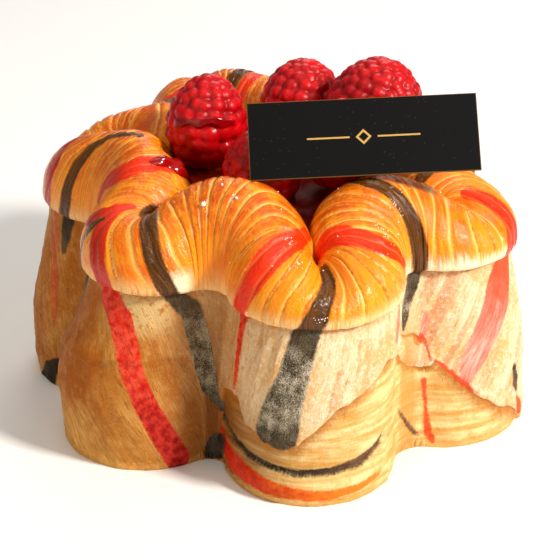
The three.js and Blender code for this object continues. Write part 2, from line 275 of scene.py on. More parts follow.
# %% [markdown]
# ## The cap and the sides
# The baked cap laps a little over the sides, so the band is made as two closed pieces, and the join hides
# under the lip. A level says where a point is on either: the height on the side up to 43, and from there the
# way over the cap, which ends at 87 on the side of the well.

# %% Sections, in millimetres
LIP_LEVEL, CAP_SPAN = 43, 44
CREST_SHIFT = -1.2
LIP_HALF = 9.9
SIDE_FACE = [(0, 9.6), (0.8, 9.95), (4, 10.4), (15, 10.3), (31, 9.55), (37, 8.9), (40, 8.4), (42, 8), (43, 7.6)]
LIP_FACE = [(41.0, 7.2), (41.05, 8.8), (41.25, 9.35), (41.7, 9.75), (42.4, 9.88), (43, LIP_HALF)]


def cap_face(column, level):
    """Distance from the middle of the band and height, for each level over the cap."""
    turn = np.pi * (level - LIP_LEVEL) / CAP_SPAN
    outside = turn < np.pi / 2
    base = np.where(outside, LIP_LEVEL, 46)
    reach = np.where(outside, LIP_HALF - CREST_SHIFT, column.inner + CREST_SHIFT)
    over = level > LIP_LEVEL
    offset = np.where(over, CREST_SHIFT + reach * np.cos(turn), np.interp(level, *zip(*LIP_FACE)))
    height = np.where(over, base + (column.crest - base) * np.sin(np.clip(turn, 0, np.pi)), level)
    return offset, height


def side_face(level):
    return np.interp(level, *zip(*SIDE_FACE)), level.copy()


def face_of(column, level):
    """The section as a stripe sees it: the side below the lip and the cap above."""
    low, high = side_face(level), cap_face(column, level)
    return np.where(level < 41.2, low[0], high[0]), np.where(level < 41.2, low[1], high[1])


print("the lip stands out", round(LIP_HALF - 8.0, 1), "mm over the side")

# %% [markdown]
# Unevenness is drawn once on a small table of random numbers, which is read with soft steps between its
# entries and closes on itself round the ring. Several such tables at different sizes give lumps, swells,
# fibres and ragged edges.

# %% Unevenness


def uneven(seed, wide, tall):
    """Makes a field over place and level, from -1 to 1, with features of the given size in millimetres."""
    across = max(4, round(BAND_LENGTH / wide))
    table = np.random.default_rng(seed).random((across, 64)) * 2 - 1

    def field(along, level):
        u = np.asarray(along, float) % BAND_LENGTH / BAND_LENGTH * across
        v = np.asarray(level, float) / tall + 5
        i, j = np.floor(u).astype(int), np.floor(v).astype(int)
        u, v = smooth(0, 1, u - i), smooth(0, 1, v - j)
        one, two = table[i % across, j % 64], table[(i + 1) % across, j % 64]
        three, four = table[i % across, (j + 1) % 64], table[(i + 1) % across, (j + 1) % 64]
        return (one * (1 - u) + two * u) * (1 - v) + (three * (1 - u) + four * u) * v

    return field


lumps, swell, bumps = uneven(1, 17, 17), uneven(2, 6.5, 11), uneven(3, 1.6, 2.2)
flutes, fine_flutes, crumbs = uneven(4, 1.5, 17), uneven(5, 0.7, 6), uneven(6, 0.9, 1.1)
ragged, drift, sag = uneven(7, 1.6, 5), uneven(8, 6, 7), uneven(9, 9, 5)
print("lumps at one place:", round(float(lumps(10, 50)), 3))

# %% [markdown]
# The fibres on a side are the cut ends of the same sheets that show as slabs on the cap, so they follow the
# stripes and lean with them. A second table gives that lean. Reading textures at the place where a fibre
# starts, and not where the point itself is, makes grain that follows it.

# %% The lean of the fibres on the sides: place along the band, then pairs of level and shift
LEANING = [
    (-100, [(0, 0), (43, 0)]),
    (-42, [(0, 0), (43, 0)]),
    (-35, [(2, 13.7), (10, 12.5), (20, 10.1), (30, 6.6), (43, 0)]),
    (-30, [(2, 18.5), (10, 16), (20, 13), (30, 8.6), (36, 4.4), (43, 0)]),
    (-22, [(2, 17), (10, 14), (20, 10), (30, 5), (43, 0)]),
    (-14, [(2, 12), (10, 10), (20, 6.6), (30, 2.2), (43, 0)]),
    (-6, [(2, 5), (10, 4.4), (20, 3.4), (30, 1.2), (43, 0)]),
    (3, [(0, 0), (43, 0)]),
    (10, [(0, -4.3), (17, -3.9), (30, -2.6), (43, 0)]),
    (20, [(0, -1), (43, 0)]),
    (30, [(10, -3), (20, -2.4), (30, -1.4), (43, 0)]),
    (36, [(10, -6), (20, -4.8), (30, -2.4), (43, 0)]),
    (44, [(10, -11), (20, -8.6), (30, -4.4), (40, -0.8), (43, 0)]),
    (52, [(10, -14), (20, -10.8), (30, -5.6), (40, -1), (43, 0)]),
    (57, [(10, -15.3), (20, -11.8), (30, -6.1), (40, -1), (43, 0)]),
    (66, [(10, -14.3), (20, -11.4), (30, -5.7), (43, 0)]),
    (80, [(10, -2.3), (20, -1.7), (43, 0)]),
    (100, [(0, 1.1), (43, 0)]),
    (130, [(0, -1.5), (43, 0)]),
    (165, [(0, 3.2), (43, 0)]),
]
fine = np.linspace(0, BAND_LENGTH, 3001)
side_line = np.array([Column(a).points(np.array([9.7]), np.array([22.0]))[0][:2] for a in fine])
cap_line = np.array([Column(a).points(np.array([5.0]), np.array([50.0]))[0][:2] for a in fine])
side_run = np.concatenate([[0], np.cumsum(np.linalg.norm(np.diff(side_line, axis=0), axis=1))])
side_run *= BAND_LENGTH / side_run[-1]


def run_to(place):
    """The way along the side to a place, also beyond one round."""
    rounds = np.floor(np.asarray(place) / BAND_LENGTH)
    return np.interp(place - rounds * BAND_LENGTH, fine, side_run) + rounds * BAND_LENGTH


def shift_at(table, along, level):
    """Reads a table of shifts between its places, going round the ring."""
    first = table[0][0]
    places = np.array([place for place, _ in table] + [first + BAND_LENGTH])
    place = (along - first) % BAND_LENGTH + first
    if table is LEANING:
        places, place = run_to(places), float(run_to(place))
    k = int(np.searchsorted(places, place, side="right")) - 1
    share = (place - places[k]) / (places[k + 1] - places[k])
    here, there = table[k][1], table[(k + 1) % len(table)][1]
    return np.interp(level, *zip(*here)) * (1 - share) + np.interp(level, *zip(*there)) * share


def side_home(along, level):
    """Where the fibre through a point of a side starts, measured along the side, which is short in a notch."""
    run = float(np.interp(along % BAND_LENGTH, fine, side_run))
    return np.interp((run - shift_at(LEANING, along, level)) % BAND_LENGTH, side_run, fine)


def grain_from(line, home, level):
    """Where a fibre starts, as a vector that textures can read."""
    home = home % BAND_LENGTH
    return np.stack([np.interp(home, fine, line[:, 0]), np.interp(home, fine, line[:, 1]), level], axis=-1)


print("the side is", round(float(np.linalg.norm(np.diff(side_line, axis=0), axis=1).sum())), "mm long")

# %% [markdown]
# The cap shows the edges of the laminated sheets as slabs with a narrow groove between each two, like pages.
# They are closer together in the folds. They also don't run straight over the band: they fan and curve, so
# a table gives their slant from place to place, as a shift along the band against the level on the cap.

# %% The slant of the slabs: place along the band, then pairs of level and shift
SLANT = [
    (-80, [(43, 0), (50, 0), (56, 0.5), (60, 2), (64, 4), (70, 6), (87, 8)]),
    (-52, [(43, -3), (50, 0), (53, 3), (57, 5.5), (60, 6.2), (67, 5), (73, 2.5), (77, 0), (87, -4)]),
    (-37, [(43, 1), (50, 0), (55, -1.2), (62, -3), (70, -4), (87, -5)]),
    (-29, [(43, 1.5), (50, 0), (60, -1.3), (65, -1), (73, 1.5), (87, 3)]),
    (-14, [(43, 0), (50, 0), (70, 0.3), (87, 0)]),
    (-3, [(43, 0), (55, 0), (65, 0.5), (70, 1.5), (75, 3), (80, 4), (87, 5)]),
    (4.5, [(43, -0.8), (50, 0), (55, 0.4), (62, 0.5), (68, 0.2), (72, -0.3), (78, -1.5), (87, -2)]),
    (12.5, [(43, -0.7), (50, 0), (60, 1.8), (66, 2.2), (87, 2.2)]),
    (18, [(43, 0), (50, 0), (60, 0), (70, 1), (87, 2)]),
    (24, [(43, 1.6), (50, 0), (55, -1.7), (60, -2.5), (70, -2.2), (75, -1), (87, -1.5)]),
    (33, [(43, 2.5), (50, 0), (57, -3.7), (64, -6), (87, -6.5)]),
    (41, [(43, 2.5), (50, 0), (57, -3.7), (64, -6), (87, -6.5)]),
    (52, [(43, 0.5), (50, 0), (60, -1), (70, -3), (87, -4)]),
    (60, [(43, 0.5), (50, 0), (60, 1.5), (67, 3.5), (75, 6), (87, 8)]),
    (66, [(43, -1.7), (50, 0), (54, 0.8), (60, 2), (67, 4), (87, 7)]),
    (80, [(43, 0), (50, 0), (60, 1), (70, 3), (87, 4)]),
    (104, [(43, -1), (50, 0), (60, 1.5), (70, 2), (87, 0)]),
    (132, [(43, 1), (50, 0), (60, -1.5), (70, -2.5), (87, -3)]),
    (163, [(43, -1), (50, 0), (60, 1), (70, 0), (87, -2)]),
    (197, [(43, 1), (50, 0), (60, -1), (70, -1), (87, 1)]),
]
print(len(SLANT), "places give the slant")

# %% Slabs and their grooves
SLAB_IN_FOLD, SLAB_IN_BEND = 1.95, 3.1
closeness = np.array([1 / (SLAB_IN_FOLD + (SLAB_IN_BEND - SLAB_IN_FOLD) * Column(a).bendness) for a in fine])
count = np.concatenate([[0], np.cumsum((closeness[1:] + closeness[:-1]) / 2) * (fine[1] - fine[0])])
SLABS = round(count[-1])
count *= SLABS / count[-1]
slab_rng = np.random.default_rng(5)
SLAB_EDGES = np.arange(SLABS) + 0.42 * (slab_rng.random(SLABS) - 0.5)
SLAB_HEIGHT, SLAB_TONE = slab_rng.random(SLABS), slab_rng.random(SLABS)


def slab_count(along):
    """The number of slabs from the start of the band to a place."""
    rounds = np.floor(along / BAND_LENGTH)
    return np.interp(along - rounds * BAND_LENGTH, fine, count) + rounds * SLABS


def slab_relief(phase):
    """Height of the slabs from 0 to 1, how deep in a groove a point is, and each slab's own tone."""
    phase = phase % SLABS
    k = np.searchsorted(SLAB_EDGES, phase, side="right") - 1
    start = SLAB_EDGES[k] - np.where(k < 0, SLABS, 0)
    end = np.append(SLAB_EDGES, SLAB_EDGES[0] + SLABS)[(k + 1) % (SLABS + 1)]
    end = np.where(k < 0, SLAB_EDGES[0], end)
    share = (phase - start) / (end - start)
    raised = smooth(0, 0.2, share) * (1 - smooth(0.74, 1, share))
    arched = raised * (1 - 0.35 * share) * (0.7 + 0.3 * SLAB_HEIGHT[k])
    return arched, 1 - raised, SLAB_TONE[k]


print(SLABS, "slabs round the ring")

# %% [markdown]
# The sides show torn fibres, and on two lobes an upper flap ends in a ragged edge over the layers below. A
# ledge of dough pokes out of the notch beside the front lobe. All of it is real relief, so it moves
# vertices and does not only shade. Two rows always sit just under and just over a flap's edge, which keeps
# that edge crisp.

# %% Flaps, ledge and the relief of the sides
FLAP_EDGE = [
    (-14, -3), (-9, 5), (-5, 13), (-1, 19.5), (2, 22.5), (3.9, 22.6), (5.4, 17.6), (7.9, 15.3), (11.4, 15.1),
    (13.6, 19.7), (15, 22.6), (18.6, 26.1), (20.4, 29.5), (24, 30.5), (30, 30), (36, 28.5), (43.7, 28.1),
    (50.9, 25.9), (54.9, 21.1), (56.2, 18.1), (57.5, 14.8), (58.7, 11.6), (60.5, 8.5), (63, 5), (66, -3),
    (116, -3), (121, 9), (128, 15), (135, 10), (142, 16), (148, 7), (152, -3), (297, -3),
]
FLAP_STEP = [
    (-14, 0), (-5, 0.7), (2, 1.1), (5, 1.5), (24, 1.4), (30, 0.8), (38, 0.4), (50, 0.45), (58, 0.6), (66, 0),
    (116, 0), (128, 1), (142, 1), (152, 0), (297, 0),
]
LEDGE = [
    (31, 27.5, 1), (34, 26.2, 2.4), (38.5, 25, 2.8), (43, 23.6, 2.7), (48, 22.8, 2.4), (52, 22.2, 1.7),
    (54, 21.8, 0.6),
]
STRATA = [1.5, 3.4, 5.2, 7.6, 9.8, 12.2, 15, 18]
ledge_spots = np.array([Column(a).points(np.array([9.7]), np.array([float(v)]))[0] for a, v, _ in LEDGE])
steps = np.linspace(0, len(LEDGE) - 1, 60)
ledge_spots = np.column_stack([np.interp(steps, range(len(LEDGE)), ledge_spots[:, k]) for k in range(3)])
ledge_half = np.interp(steps, range(len(LEDGE)), [half for _, _, half in LEDGE])
WRINKLE = [(267, 19), (270, 21), (273, 23.5), (277, 24), (280, 26.5), (284, 27.5), (287, 29)]
SEAM = [(-3, 14), (-1, 13), (1.4, 11.7), (5, 8.9), (10.7, 7.7), (15, 8), (18.6, 8.6), (21, 10.4), (22.6, 13)]


def from_start(along):
    """Place along the band counted from just left of the front lobe, as the tables of flaps are."""
    return (along + 14) % BAND_LENGTH - 14


def side_levels(column):
    place = from_start(column.along)
    edge = float(np.interp(place, *zip(*FLAP_EDGE)))
    torn = 0.7 * float(ragged(column.along, 0)) + 0.4 * float(fine_flutes(column.along, 0))
    edge += torn * (1 - column.bendness)
    rows_edge = float(np.interp(place, [-14, -9, 66, 78, 106, 118, 150, 160], [22, 5, 5, 22, 22, 5, 5, 22]))
    rows_edge = max(edge, 4) if edge > 4 and -9 < place < 66 or edge > 4 and 118 < place < 150 else rows_edge
    foot = [0, 0.25, 0.7, 1.3, 2]
    low = list(np.interp(np.linspace(0, 1, 27)[1:], [0, 0.5, 1], [2, 2 + (rows_edge - 2) * 0.4, rows_edge - 0.25]))
    high = list(np.linspace(rows_edge + 0.25, 42.4, 34))
    return np.array(foot + low + high), edge


def side_relief(column, level, edge, plain):
    """Plain are the section's points before any relief, for the distance to the ledge."""
    along, place = column.along, from_start(column.along)
    home = side_home(along, level)
    run = np.interp(home % BAND_LENGTH, fine, side_run)
    open_side = 1 - 0.7 * column.bendness**3
    near_c = float(smooth(44, 54, along) * (1 - smooth(72, 82, along)))
    near_a = float(smooth(-56 + BAND_LENGTH, -46 + BAND_LENGTH, along))
    ribs = flutes(run, level) * (1 - 0.6 * near_a) + near_c * flutes(run * 1.7, level * 0.6)
    fibres = fine_flutes(run, level)
    out = 0.4 * lumps(along, level) + 0.22 * swell(along, level)
    out += open_side * ((0.24 + 0.1 * near_c) * ribs + 0.1 * fibres + 0.14 * crumbs(run, level))
    out += 0.4 * near_a * sag(along * 0.4, level) * smooth(33, 24, level)
    step = float(np.interp(place, *zip(*FLAP_STEP)))
    under = 1 - smooth(edge - 0.28, edge + 0.28, level)
    layers = sum(np.tanh((level - line - 2.4 * drift(along * 0.7, line)) * 2.5) for line in STRATA) * 0.06
    out = out * (1 - 0.6 * under) + under * layers * min(step, 1)
    out += step * (0.2 * np.exp(-(((level - edge) / 3) ** 2)) * (1 - under) - under * smooth(3.5, 8, level))
    gap, lower = np.full(len(level), 9.0), np.zeros(len(level), bool)
    if 26 < along < 60:
        apart = np.linalg.norm(plain[:, None] - ledge_spots[None], axis=2) - ledge_half[None]
        gap = apart.min(1)
        out += 1.1 * smooth(0.8, -1.6, gap)
        lower = level < ledge_spots[apart.argmin(1), 2] - 0.4 * ledge_half[apart.argmin(1)]
    if -3 < place < 22.6:
        below = np.interp(place, *zip(*SEAM)) - level + 0.5 * float(drift(along, 3))
        out += 0.45 * smooth(0.2, 1.4, below) - 0.5 * np.exp(-((below / 0.6) ** 2))
    if 267 < place < 287:
        over = level - np.interp(place, *zip(*WRINKLE)) - 0.8 * float(ragged(along, 9))
        edge_on = float(smooth(267, 270, place) * smooth(287, 284, place))
        out += 0.75 * edge_on * smooth(-0.5, 0.5, over) * np.exp(-np.maximum(0, over) / 3.5)
    out += 0.4 * crumbs(along, level) * smooth(3, 1, level)
    hollow = -ribs * (0.6 + 0.4 * near_c) - 0.5 * fibres
    flap = np.where(gap < 0, np.minimum(-gap, 6) + 0.3, np.where((gap < 1.4) & lower, -gap - 0.2, level - edge))
    return out * smooth(-0.4, 1.0, level) * (1 - smooth(39.5, 41.5, level)), home, hollow, flap


def cap_relief(column, level):
    along = column.along
    home = along - shift_at(SLANT, along, level) + 0.3 * drift(along, level)
    raised, groove, tone = slab_relief(slab_count(home))
    start = LIP_LEVEL - 0.5 + 5.5 * column.bendness**2
    slabs = smooth(start - 1, start + 5, level) * (1 - 0.6 * smooth(80, 87, level))
    slabs = 0.45 + 0.55 * slabs
    out = slabs * (0.5 * raised - 0.27) + 0.32 * lumps(along, level) + 0.16 * swell(along, level)
    out += 0.07 * bumps(along, level) + (0.3 * drift(along * 1.5, 0) + 0.5 * (tone - 0.5)) * smooth(47, 42.5, level)
    return out * smooth(40.8, 42, level), home, groove * slabs, tone


print(len(side_levels(Column(0))[0]), "rows on the side")

# %% [markdown]
# ## The stripes
# Strips of red and of dark dough were laid over the sheet before it was cut, so each stripe crosses the
# band, over the cap and down the side. A stripe is a line of points, each with its place along the band,
# its level and half its width. For every vertex near it the distance inside the stripe's edge is kept as a
# value. The material turns that into a crisp edge, and can fray it, which a painted mask could not.

# %% Red and dark stripes: place, level, half width in millimetres
RED_STRIPES = dict(
    front_left=[
        (-1.2, 78, 1.7), (1.4, 75, 2), (3.4, 71.9, 2.2), (4.3, 68.3, 2.4), (4.6, 62, 2.9), (4.5, 55, 3.1),
        (4.1, 50, 2.9), (3.3, 45, 2.4), (2.9, 41.5, 2), (2.7, 39, 1.2), (2.8, 32, 1), (3.1, 24, 0.5),
    ],
    front_right=[
        (24.2, 84, 1.5), (24.4, 75, 2.2), (23.2, 70, 2.6), (22.9, 65, 2.5), (22.9, 60, 2.5), (23.7, 55, 2.4),
        (25.2, 50, 2.3), (26.2, 46, 2.2), (26, 41.5, 1.6), (24, 37, 1.2), (22.6, 33, 0.8),
    ],
    left_outer=[
        (-39.4, 63, 1.2), (-38.6, 59, 1.8), (-37.6, 55, 2.2), (-36.3, 50, 2.5), (-35.5, 45, 2.5),
        (-35, 41, 2.6), (-34.6, 39, 2.7), (-32.9, 35, 2.9), (-31.6, 30, 2.6), (-30.9, 25, 2.5),
        (-30.1, 20, 2.4), (-28.9, 10, 2.7), (-27.9, 2, 2.8),
    ],
    left_back=[
        (-56, 80, 1.6), (-54.8, 76.9, 1.9), (-52.9, 73.3, 2.1), (-50.9, 67.6, 2.2), (-49.5, 60.4, 2.6),
        (-50, 56.9, 2.6), (-53, 52.6, 2.3), (-56, 49.5, 1.8), (-58, 46.5, 1.2),
    ],
    left_far=[
        (-39.4, 66, 1), (-39.8, 60, 1.4), (-40.8, 54, 1.6), (-42.4, 49, 1.6), (-44.5, 45, 1.6), (-45, 40, 1.2),
        (-44, 30, 1),
    ],
    side_left=[
        (-84, 72, 1.4), (-82, 62, 1.9), (-80.6, 55, 2.2), (-80, 50, 2.4), (-79.4, 44, 2.2), (-79.6, 40, 1.9),
        (-80, 32, 1.8), (-80.6, 24, 1.4), (-81, 17, 0.7),
    ],
    back_left=[
        (-118, 76, 1.4), (-118.6, 68, 2), (-118.6, 58, 2.4), (-118, 50, 2.4), (-117, 42, 2.2), (-117, 30, 1.9),
        (-118, 12, 1.6),
    ],
    back=[
        (-153, 80, 1.4), (-152.4, 72, 1.9), (-151.6, 62, 2.2), (-151.6, 52, 2.4), (-152.6, 43, 2.2),
        (-153.6, 30, 2), (-154, 14, 1.4),
    ],
    right=[
        (68.4, 66, 1.4), (67.4, 59, 1.9), (66.3, 54, 2.4), (65.2, 48, 2.7), (64, 43.5, 3), (63.6, 40, 3.6),
        (62, 35, 4.2), (60.6, 30, 3.9), (59, 25, 3.1), (57.6, 20, 2.3), (57.1, 16.8, 1.2),
    ],
    front_rim=[
        (-3, 9, 1), (0.5, 6.9, 1.7), (4, 5, 2.1), (9, 3.5, 1.8), (14, 3, 1.4), (18, 3.6, 0.9), (21, 5, 0.4),
    ],
    right_patch=[(51.5, 31.8, 0.5), (50.6, 30, 0.8), (49.3, 27.4, 0.8), (48.4, 26.2, 0.7)],
    right_seam=[
        (48.6, 27.6, 0.5), (51, 26.1, 0.35), (54.9, 21.4, 0.4), (56.2, 18.5, 0.6), (57.3, 15.8, 0.55),
        (58.4, 13, 0.2),
    ],
    right_low=[
        (50.3, 17.6, 0.6), (51.3, 13.5, 0.45), (52.4, 9.5, 0.35), (53.6, 6, 0.8), (54.4, 3, 0.9),
        (54.6, 1.4, 0.5),
    ],
    right_tip=[(63.4, 7.5, 0.5), (64, 5, 1.1), (64.4, 2.5, 0.8)],
    right_back=[
        (92, 82, 1.4), (92.6, 72, 2), (92.4, 60, 2.4), (91.6, 50, 2.5), (91, 42, 2.3), (90.6, 30, 2),
        (91, 10, 1.5),
    ],
    back_right=[
        (118, 80, 1.4), (117, 70, 2), (115.6, 60, 2.5), (115.2, 50, 2.8), (116, 42, 2.6), (117, 30, 2.3),
        (117.6, 10, 2),
    ],
    far_right=[
        (140, 80, 1.4), (140.6, 70, 2), (141.6, 60, 2.4), (142, 50, 2.4), (141.6, 42, 2.1), (141, 26, 1.6),
        (140.6, 8, 1.2),
    ],
)
DARK_STRIPES = dict(
    front_tip=[
        (14.2, 70, 0.8), (13.9, 66, 1.1), (13.5, 60, 1.4), (12.7, 55, 1.7), (12, 50, 2), (11.6, 45, 2.3),
        (11, 41.5, 2.5), (10.4, 39, 2.8), (9.9, 30, 3.2), (9.3, 22, 4.2), (9.1, 17.6, 4.6),
    ],
    front_seam=[
        (-2, 13.6, 0.5), (1.4, 11.7, 0.68), (5, 8.9, 0.7), (10.7, 7.7, 0.66), (15, 8.2, 0.95), (18.6, 8.9, 1.4),
        (21, 10.8, 0.9), (22.6, 14, 0.3),
    ],
    left=[
        (-43, 76, 1), (-38.5, 73, 1.4), (-35, 70, 1.6), (-32.3, 67, 1.9), (-31.3, 64, 2), (-31, 60, 2.1),
        (-30.5, 55, 2), (-30, 50, 2), (-29.3, 45, 1.9), (-28.6, 41.5, 1.8), (-27.4, 38.5, 2.2),
        (-25.4, 34, 2.4), (-22.6, 29, 2.5), (-19.6, 24, 2.4), (-15.6, 19.5, 2.3), (-10, 16.6, 1.8),
        (-5, 15, 1.3),
    ],
    left_far=[
        (-39, 57, 0.7), (-39.6, 53, 1.2), (-40, 48, 1.5), (-39.8, 43, 1.5), (-39.8, 38, 1.3), (-39.7, 30, 1.1),
        (-39.4, 20, 0.9), (-39, 10, 0.5),
    ],
    side_left=[
        (-60, 65.5, 0.9), (-64.3, 63, 1.1), (-70, 60.7, 1.2), (-73.6, 58, 1.4), (-75, 54, 1.5),
        (-75.6, 48, 1.6), (-75.7, 44, 1.8), (-76.2, 40, 2), (-77, 36.4, 1.6), (-78, 33, 0.8),
    ],
    side_left_low=[(-80.5, 7.5, 1), (-82, 4, 2.3), (-83, -1, 3)],
    back_left=[
        (-110, 74, 1.2), (-109.6, 68, 1.8), (-109.2, 60, 2), (-109.6, 50, 2.1), (-110, 42, 2.1),
        (-109, 30, 2.1), (-108, 18, 2.4),
    ],
    back=[
        (-145.4, 78, 1.2), (-146, 70, 1.8), (-146.6, 60, 2), (-146, 50, 2), (-145, 42, 2), (-144, 30, 2.2),
        (-143.4, 18, 2.6),
    ],
    arch=[
        (38.4, 74, 1.2), (38.2, 70, 1.5), (38.1, 64, 1.9), (39.4, 60, 2.1), (41, 57, 2.2), (44, 51.5, 2.2),
        (46.6, 46, 2), (47, 42, 1.7), (44, 38, 1.5), (38, 34, 1.5), (34, 31, 1.2),
    ],
    right_far=[
        (78, 80, 1.2), (79, 70, 1.7), (79.6, 60, 1.9), (79.4, 50, 2), (79, 42, 2), (78.6, 30, 2.1),
        (78, 16, 2.4),
    ],
    notch_left=[(-17, 1, 1), (-12, 3, 2.6), (-7, 4.4, 3.2), (-3, 3, 2.4), (-1, 1, 1)],
    right_edge=[(63, 16, 0.5), (63.2, 12.3, 1.3), (63.6, 9, 0.9)],
    right_curl=[(30, 13, 0.2), (34, 11, 0.3), (38, 9, 0.4), (42, 6.4, 0.5), (46, 4.4, 0.5), (49, 3.6, 0.2)],
    back_right=[
        (104, 80, 1.2), (103.4, 70, 1.8), (103, 60, 2), (103.4, 50, 2.1), (104, 42, 2.2), (105, 30, 2.3),
        (106, 16, 2.8),
    ],
    far_right=[
        (129, 80, 1.2), (128.4, 70, 1.8), (128.4, 60, 2), (129, 50, 2.1), (129.4, 42, 2.1), (130, 28, 2.1),
        (131, 14, 2.2),
    ],
    far_back=[
        (163, 80, 1.2), (164, 70, 1.8), (164.6, 60, 2.1), (164, 50, 2.1), (163, 42, 2.1), (162, 28, 2.2),
        (161, 12, 2.4),
    ],
    behind=[(176, 78, 1), (177, 68, 1.6), (177, 58, 1.9), (176, 48, 2), (175, 40, 1.8), (175, 24, 1.4)],
)


print(len(RED_STRIPES), "red stripes and", len(DARK_STRIPES), "dark ones")

# %% Distances to the stripes


def track_of(stripe):
    """Points along the middle of a stripe, on the band's surface, in steps of less than a millimetre."""
    knots = np.array(stripe)
    steps = np.linspace(0, len(knots) - 1, (len(knots) - 1) * 12 + 1)
    line = np.column_stack([np.interp(steps, np.arange(len(knots)), knots[:, k]) for k in range(3)])
    spots = []
    for place, level, _ in line:
        column = Column(place)
        spots.append(column.points(*face_of(column, np.array([level])))[0])
    return line, np.array(spots)


def stripe_values(stripes, places, points, levels):
    """For each vertex, how far inside the nearest stripe's edge it lies, negative outside."""
    inside = np.full(levels.shape, -4.0)
    rows = levels.shape[1]
    for line, spots in map(track_of, stripes.values()):
        gap = (places[:, None] - line[None, :, 0] + BAND_LENGTH / 2) % BAND_LENGTH - BAND_LENGTH / 2
        near = np.nonzero(np.abs(gap).min(1) < 7)[0]
        for start in range(0, len(near), 24):
            some = near[start : start + 24]
            here = points[some].reshape(-1, 3)
            apart = np.linalg.norm(here[:, None, :] - spots[None], axis=2)
            apart += np.repeat(4 * np.maximum(0, np.abs(gap[some]) - 7), rows, axis=0)
            apart += 0.5 * np.maximum(0, np.abs(levels[some].reshape(-1, 1) - line[None, :, 1]) - 8)
            best = (line[None, :, 2] - apart).max(1).reshape(len(some), rows)
            inside[some] = np.maximum(inside[some], best)
    return np.clip(inside, -4, 6)


print("first stripe runs over", len(track_of(RED_STRIPES["front_left"])[0]), "points")

# %% [markdown]
# ## Two sheets along the band
# Each of the two pieces starts as a flat sheet, as the dough did: a grid with one line of vertices for each
# column and each row. No operator follows such a line with a changing section, so the vertices are moved in
# code. The sheet's last column lands on its first and the last row on the first, and merging them closes it
# into a ring. Columns are closer together where slabs are.

# %% Lay a sheet along the band
def lay_sheet(columns, section, line):
    """Section gives one column's levels, offsets, heights and named values. Returns the closed piece."""
    places = np.interp(np.arange(columns) * SLABS / columns, count, fine)
    made = [section(Column(place)) for place in places]
    rows = len(made[0][0])
    levels = np.array([m[0] for m in made])
    points = np.array([Column(place).points(m[1], m[2]) for place, m in zip(places, made)])
    values = {name: np.array([m[3][name] for m in made]) for name in made[0][3]}
    plain = np.array([Column(place).points(*face_of(Column(place), m[0])) for place, m in zip(places, made)])
    values["red"] = stripe_values(RED_STRIPES, places, plain, levels)
    values["dark"] = stripe_values(DARK_STRIPES, places, plain, levels)
    grain = grain_from(line, values.pop("home"), levels)
    values["level"] = levels
    nothing_selected()
    bpy.ops.mesh.primitive_grid_add(x_subdivisions=rows, y_subdivisions=columns, size=0.1)
    piece = bpy.context.object

    def closed(grid):
        return np.take(np.take(grid, range(columns + 1), 0, mode="wrap"), range(rows + 1), 1, mode="wrap")

    set_points(piece, closed(points).reshape(-1, 3) * MM)
    paint_vectors(piece, "grain", closed(grain))
    for name, grid in values.items():
        paint_values(piece, name, closed(grid))
    bpy.ops.object.mode_set(mode="EDIT")
    bpy.ops.mesh.select_all(action="SELECT")
    bpy.ops.mesh.remove_doubles(threshold=1e-7)
    bpy.ops.mesh.normals_make_consistent(inside=False)
    bpy.ops.object.mode_set(mode="OBJECT")
    print(columns, "columns of", rows, "rows closed to", len(piece.data.vertices), "vertices")
    return piece


def stand_out(offset, height, out):
    """Moves a section's points by the relief, square to the section."""
    run, rise = np.gradient(offset), np.gradient(height)
    size = np.hypot(run, rise) + 1e-9
    return offset + out * rise / size, height - out * run / size


# %% The sides


def side_section(column):
    level, edge = side_levels(column)
    offset, height = side_face(level)
    out, home, hollow, flap = side_relief(column, level, edge, column.points(offset, height))
    offset, height = stand_out(offset, height, out)
    height = np.maximum(height, 0)
    height[0] = 0
    inside = np.array([(4, 42.4), (-3, 42), (-3, 0), (5, 0)])
    values = dict(home=home, groove=out * 0, tone=out * 0, flap=flap, hollow=hollow, bend=out * 0 + column.bendness)
    values = {name: np.append(grid, grid[[-1, -1, 0, 0]]) for name, grid in values.items()}
    offset, height = np.append(offset, inside[:, 0]), np.append(height, inside[:, 1])
    return np.append(level, [42.4, 42.4, 0, 0]), offset, height, values


sides = lay_sheet(1420, side_section, side_line)

# %% The cap
CAP_LEVELS = np.concatenate([[41.0, 41.05, 41.3, 41.8, 42.4], np.linspace(43, 65, 24), np.linspace(65, 87, 14)[1:]])


def cap_section(column):
    level = CAP_LEVELS
    offset, height = cap_face(column, level)
    out, home, groove, tone = cap_relief(column, level)
    offset, height = stand_out(offset, height, out)
    inside = np.array([(-column.inner + 0.4, 45), (-2, 44.5)])
    none = out * 0
    values = dict(home=home, groove=groove, tone=tone, flap=none + 8, hollow=none, bend=none + column.bendness)
    values = {name: np.append(grid, grid[[-1, -1]]) for name, grid in values.items()}
    offset, height = np.append(offset, inside[:, 0]), np.append(height, inside[:, 1])
    return np.append(level, [88, 92]), offset, height, values


cap = lay_sheet(2200, cap_section, cap_line)

# %% [markdown]
# ## Materials
# Effects that several materials share are node groups: fibres that run one way, and specks. Each gives only
# values. The shader itself stays in each material.

# %% Node helpers
tree = None  # the node tree that these helpers add to


class Value:
    """What a node puts out. Sums and products of such values add math nodes."""

    def __init__(self, socket):
        self.socket = socket

    def __add__(self, other):
        return math_of("ADD", self, other)

    def __sub__(self, other):
        return math_of("SUBTRACT", self, other)

    def __rsub__(self, other):
        return math_of("SUBTRACT", other, self)

    def __mul__(self, other):
        return math_of("MULTIPLY", self, other)


def feed(node, inputs):
    """Links what changes over the surface to a node's sockets, and sets what doesn't."""
    for key, value in inputs.items():
        if isinstance(value, Value):
            tree.links.new(value.socket, node.inputs[key])
        else:
            node.inputs[key].default_value = value


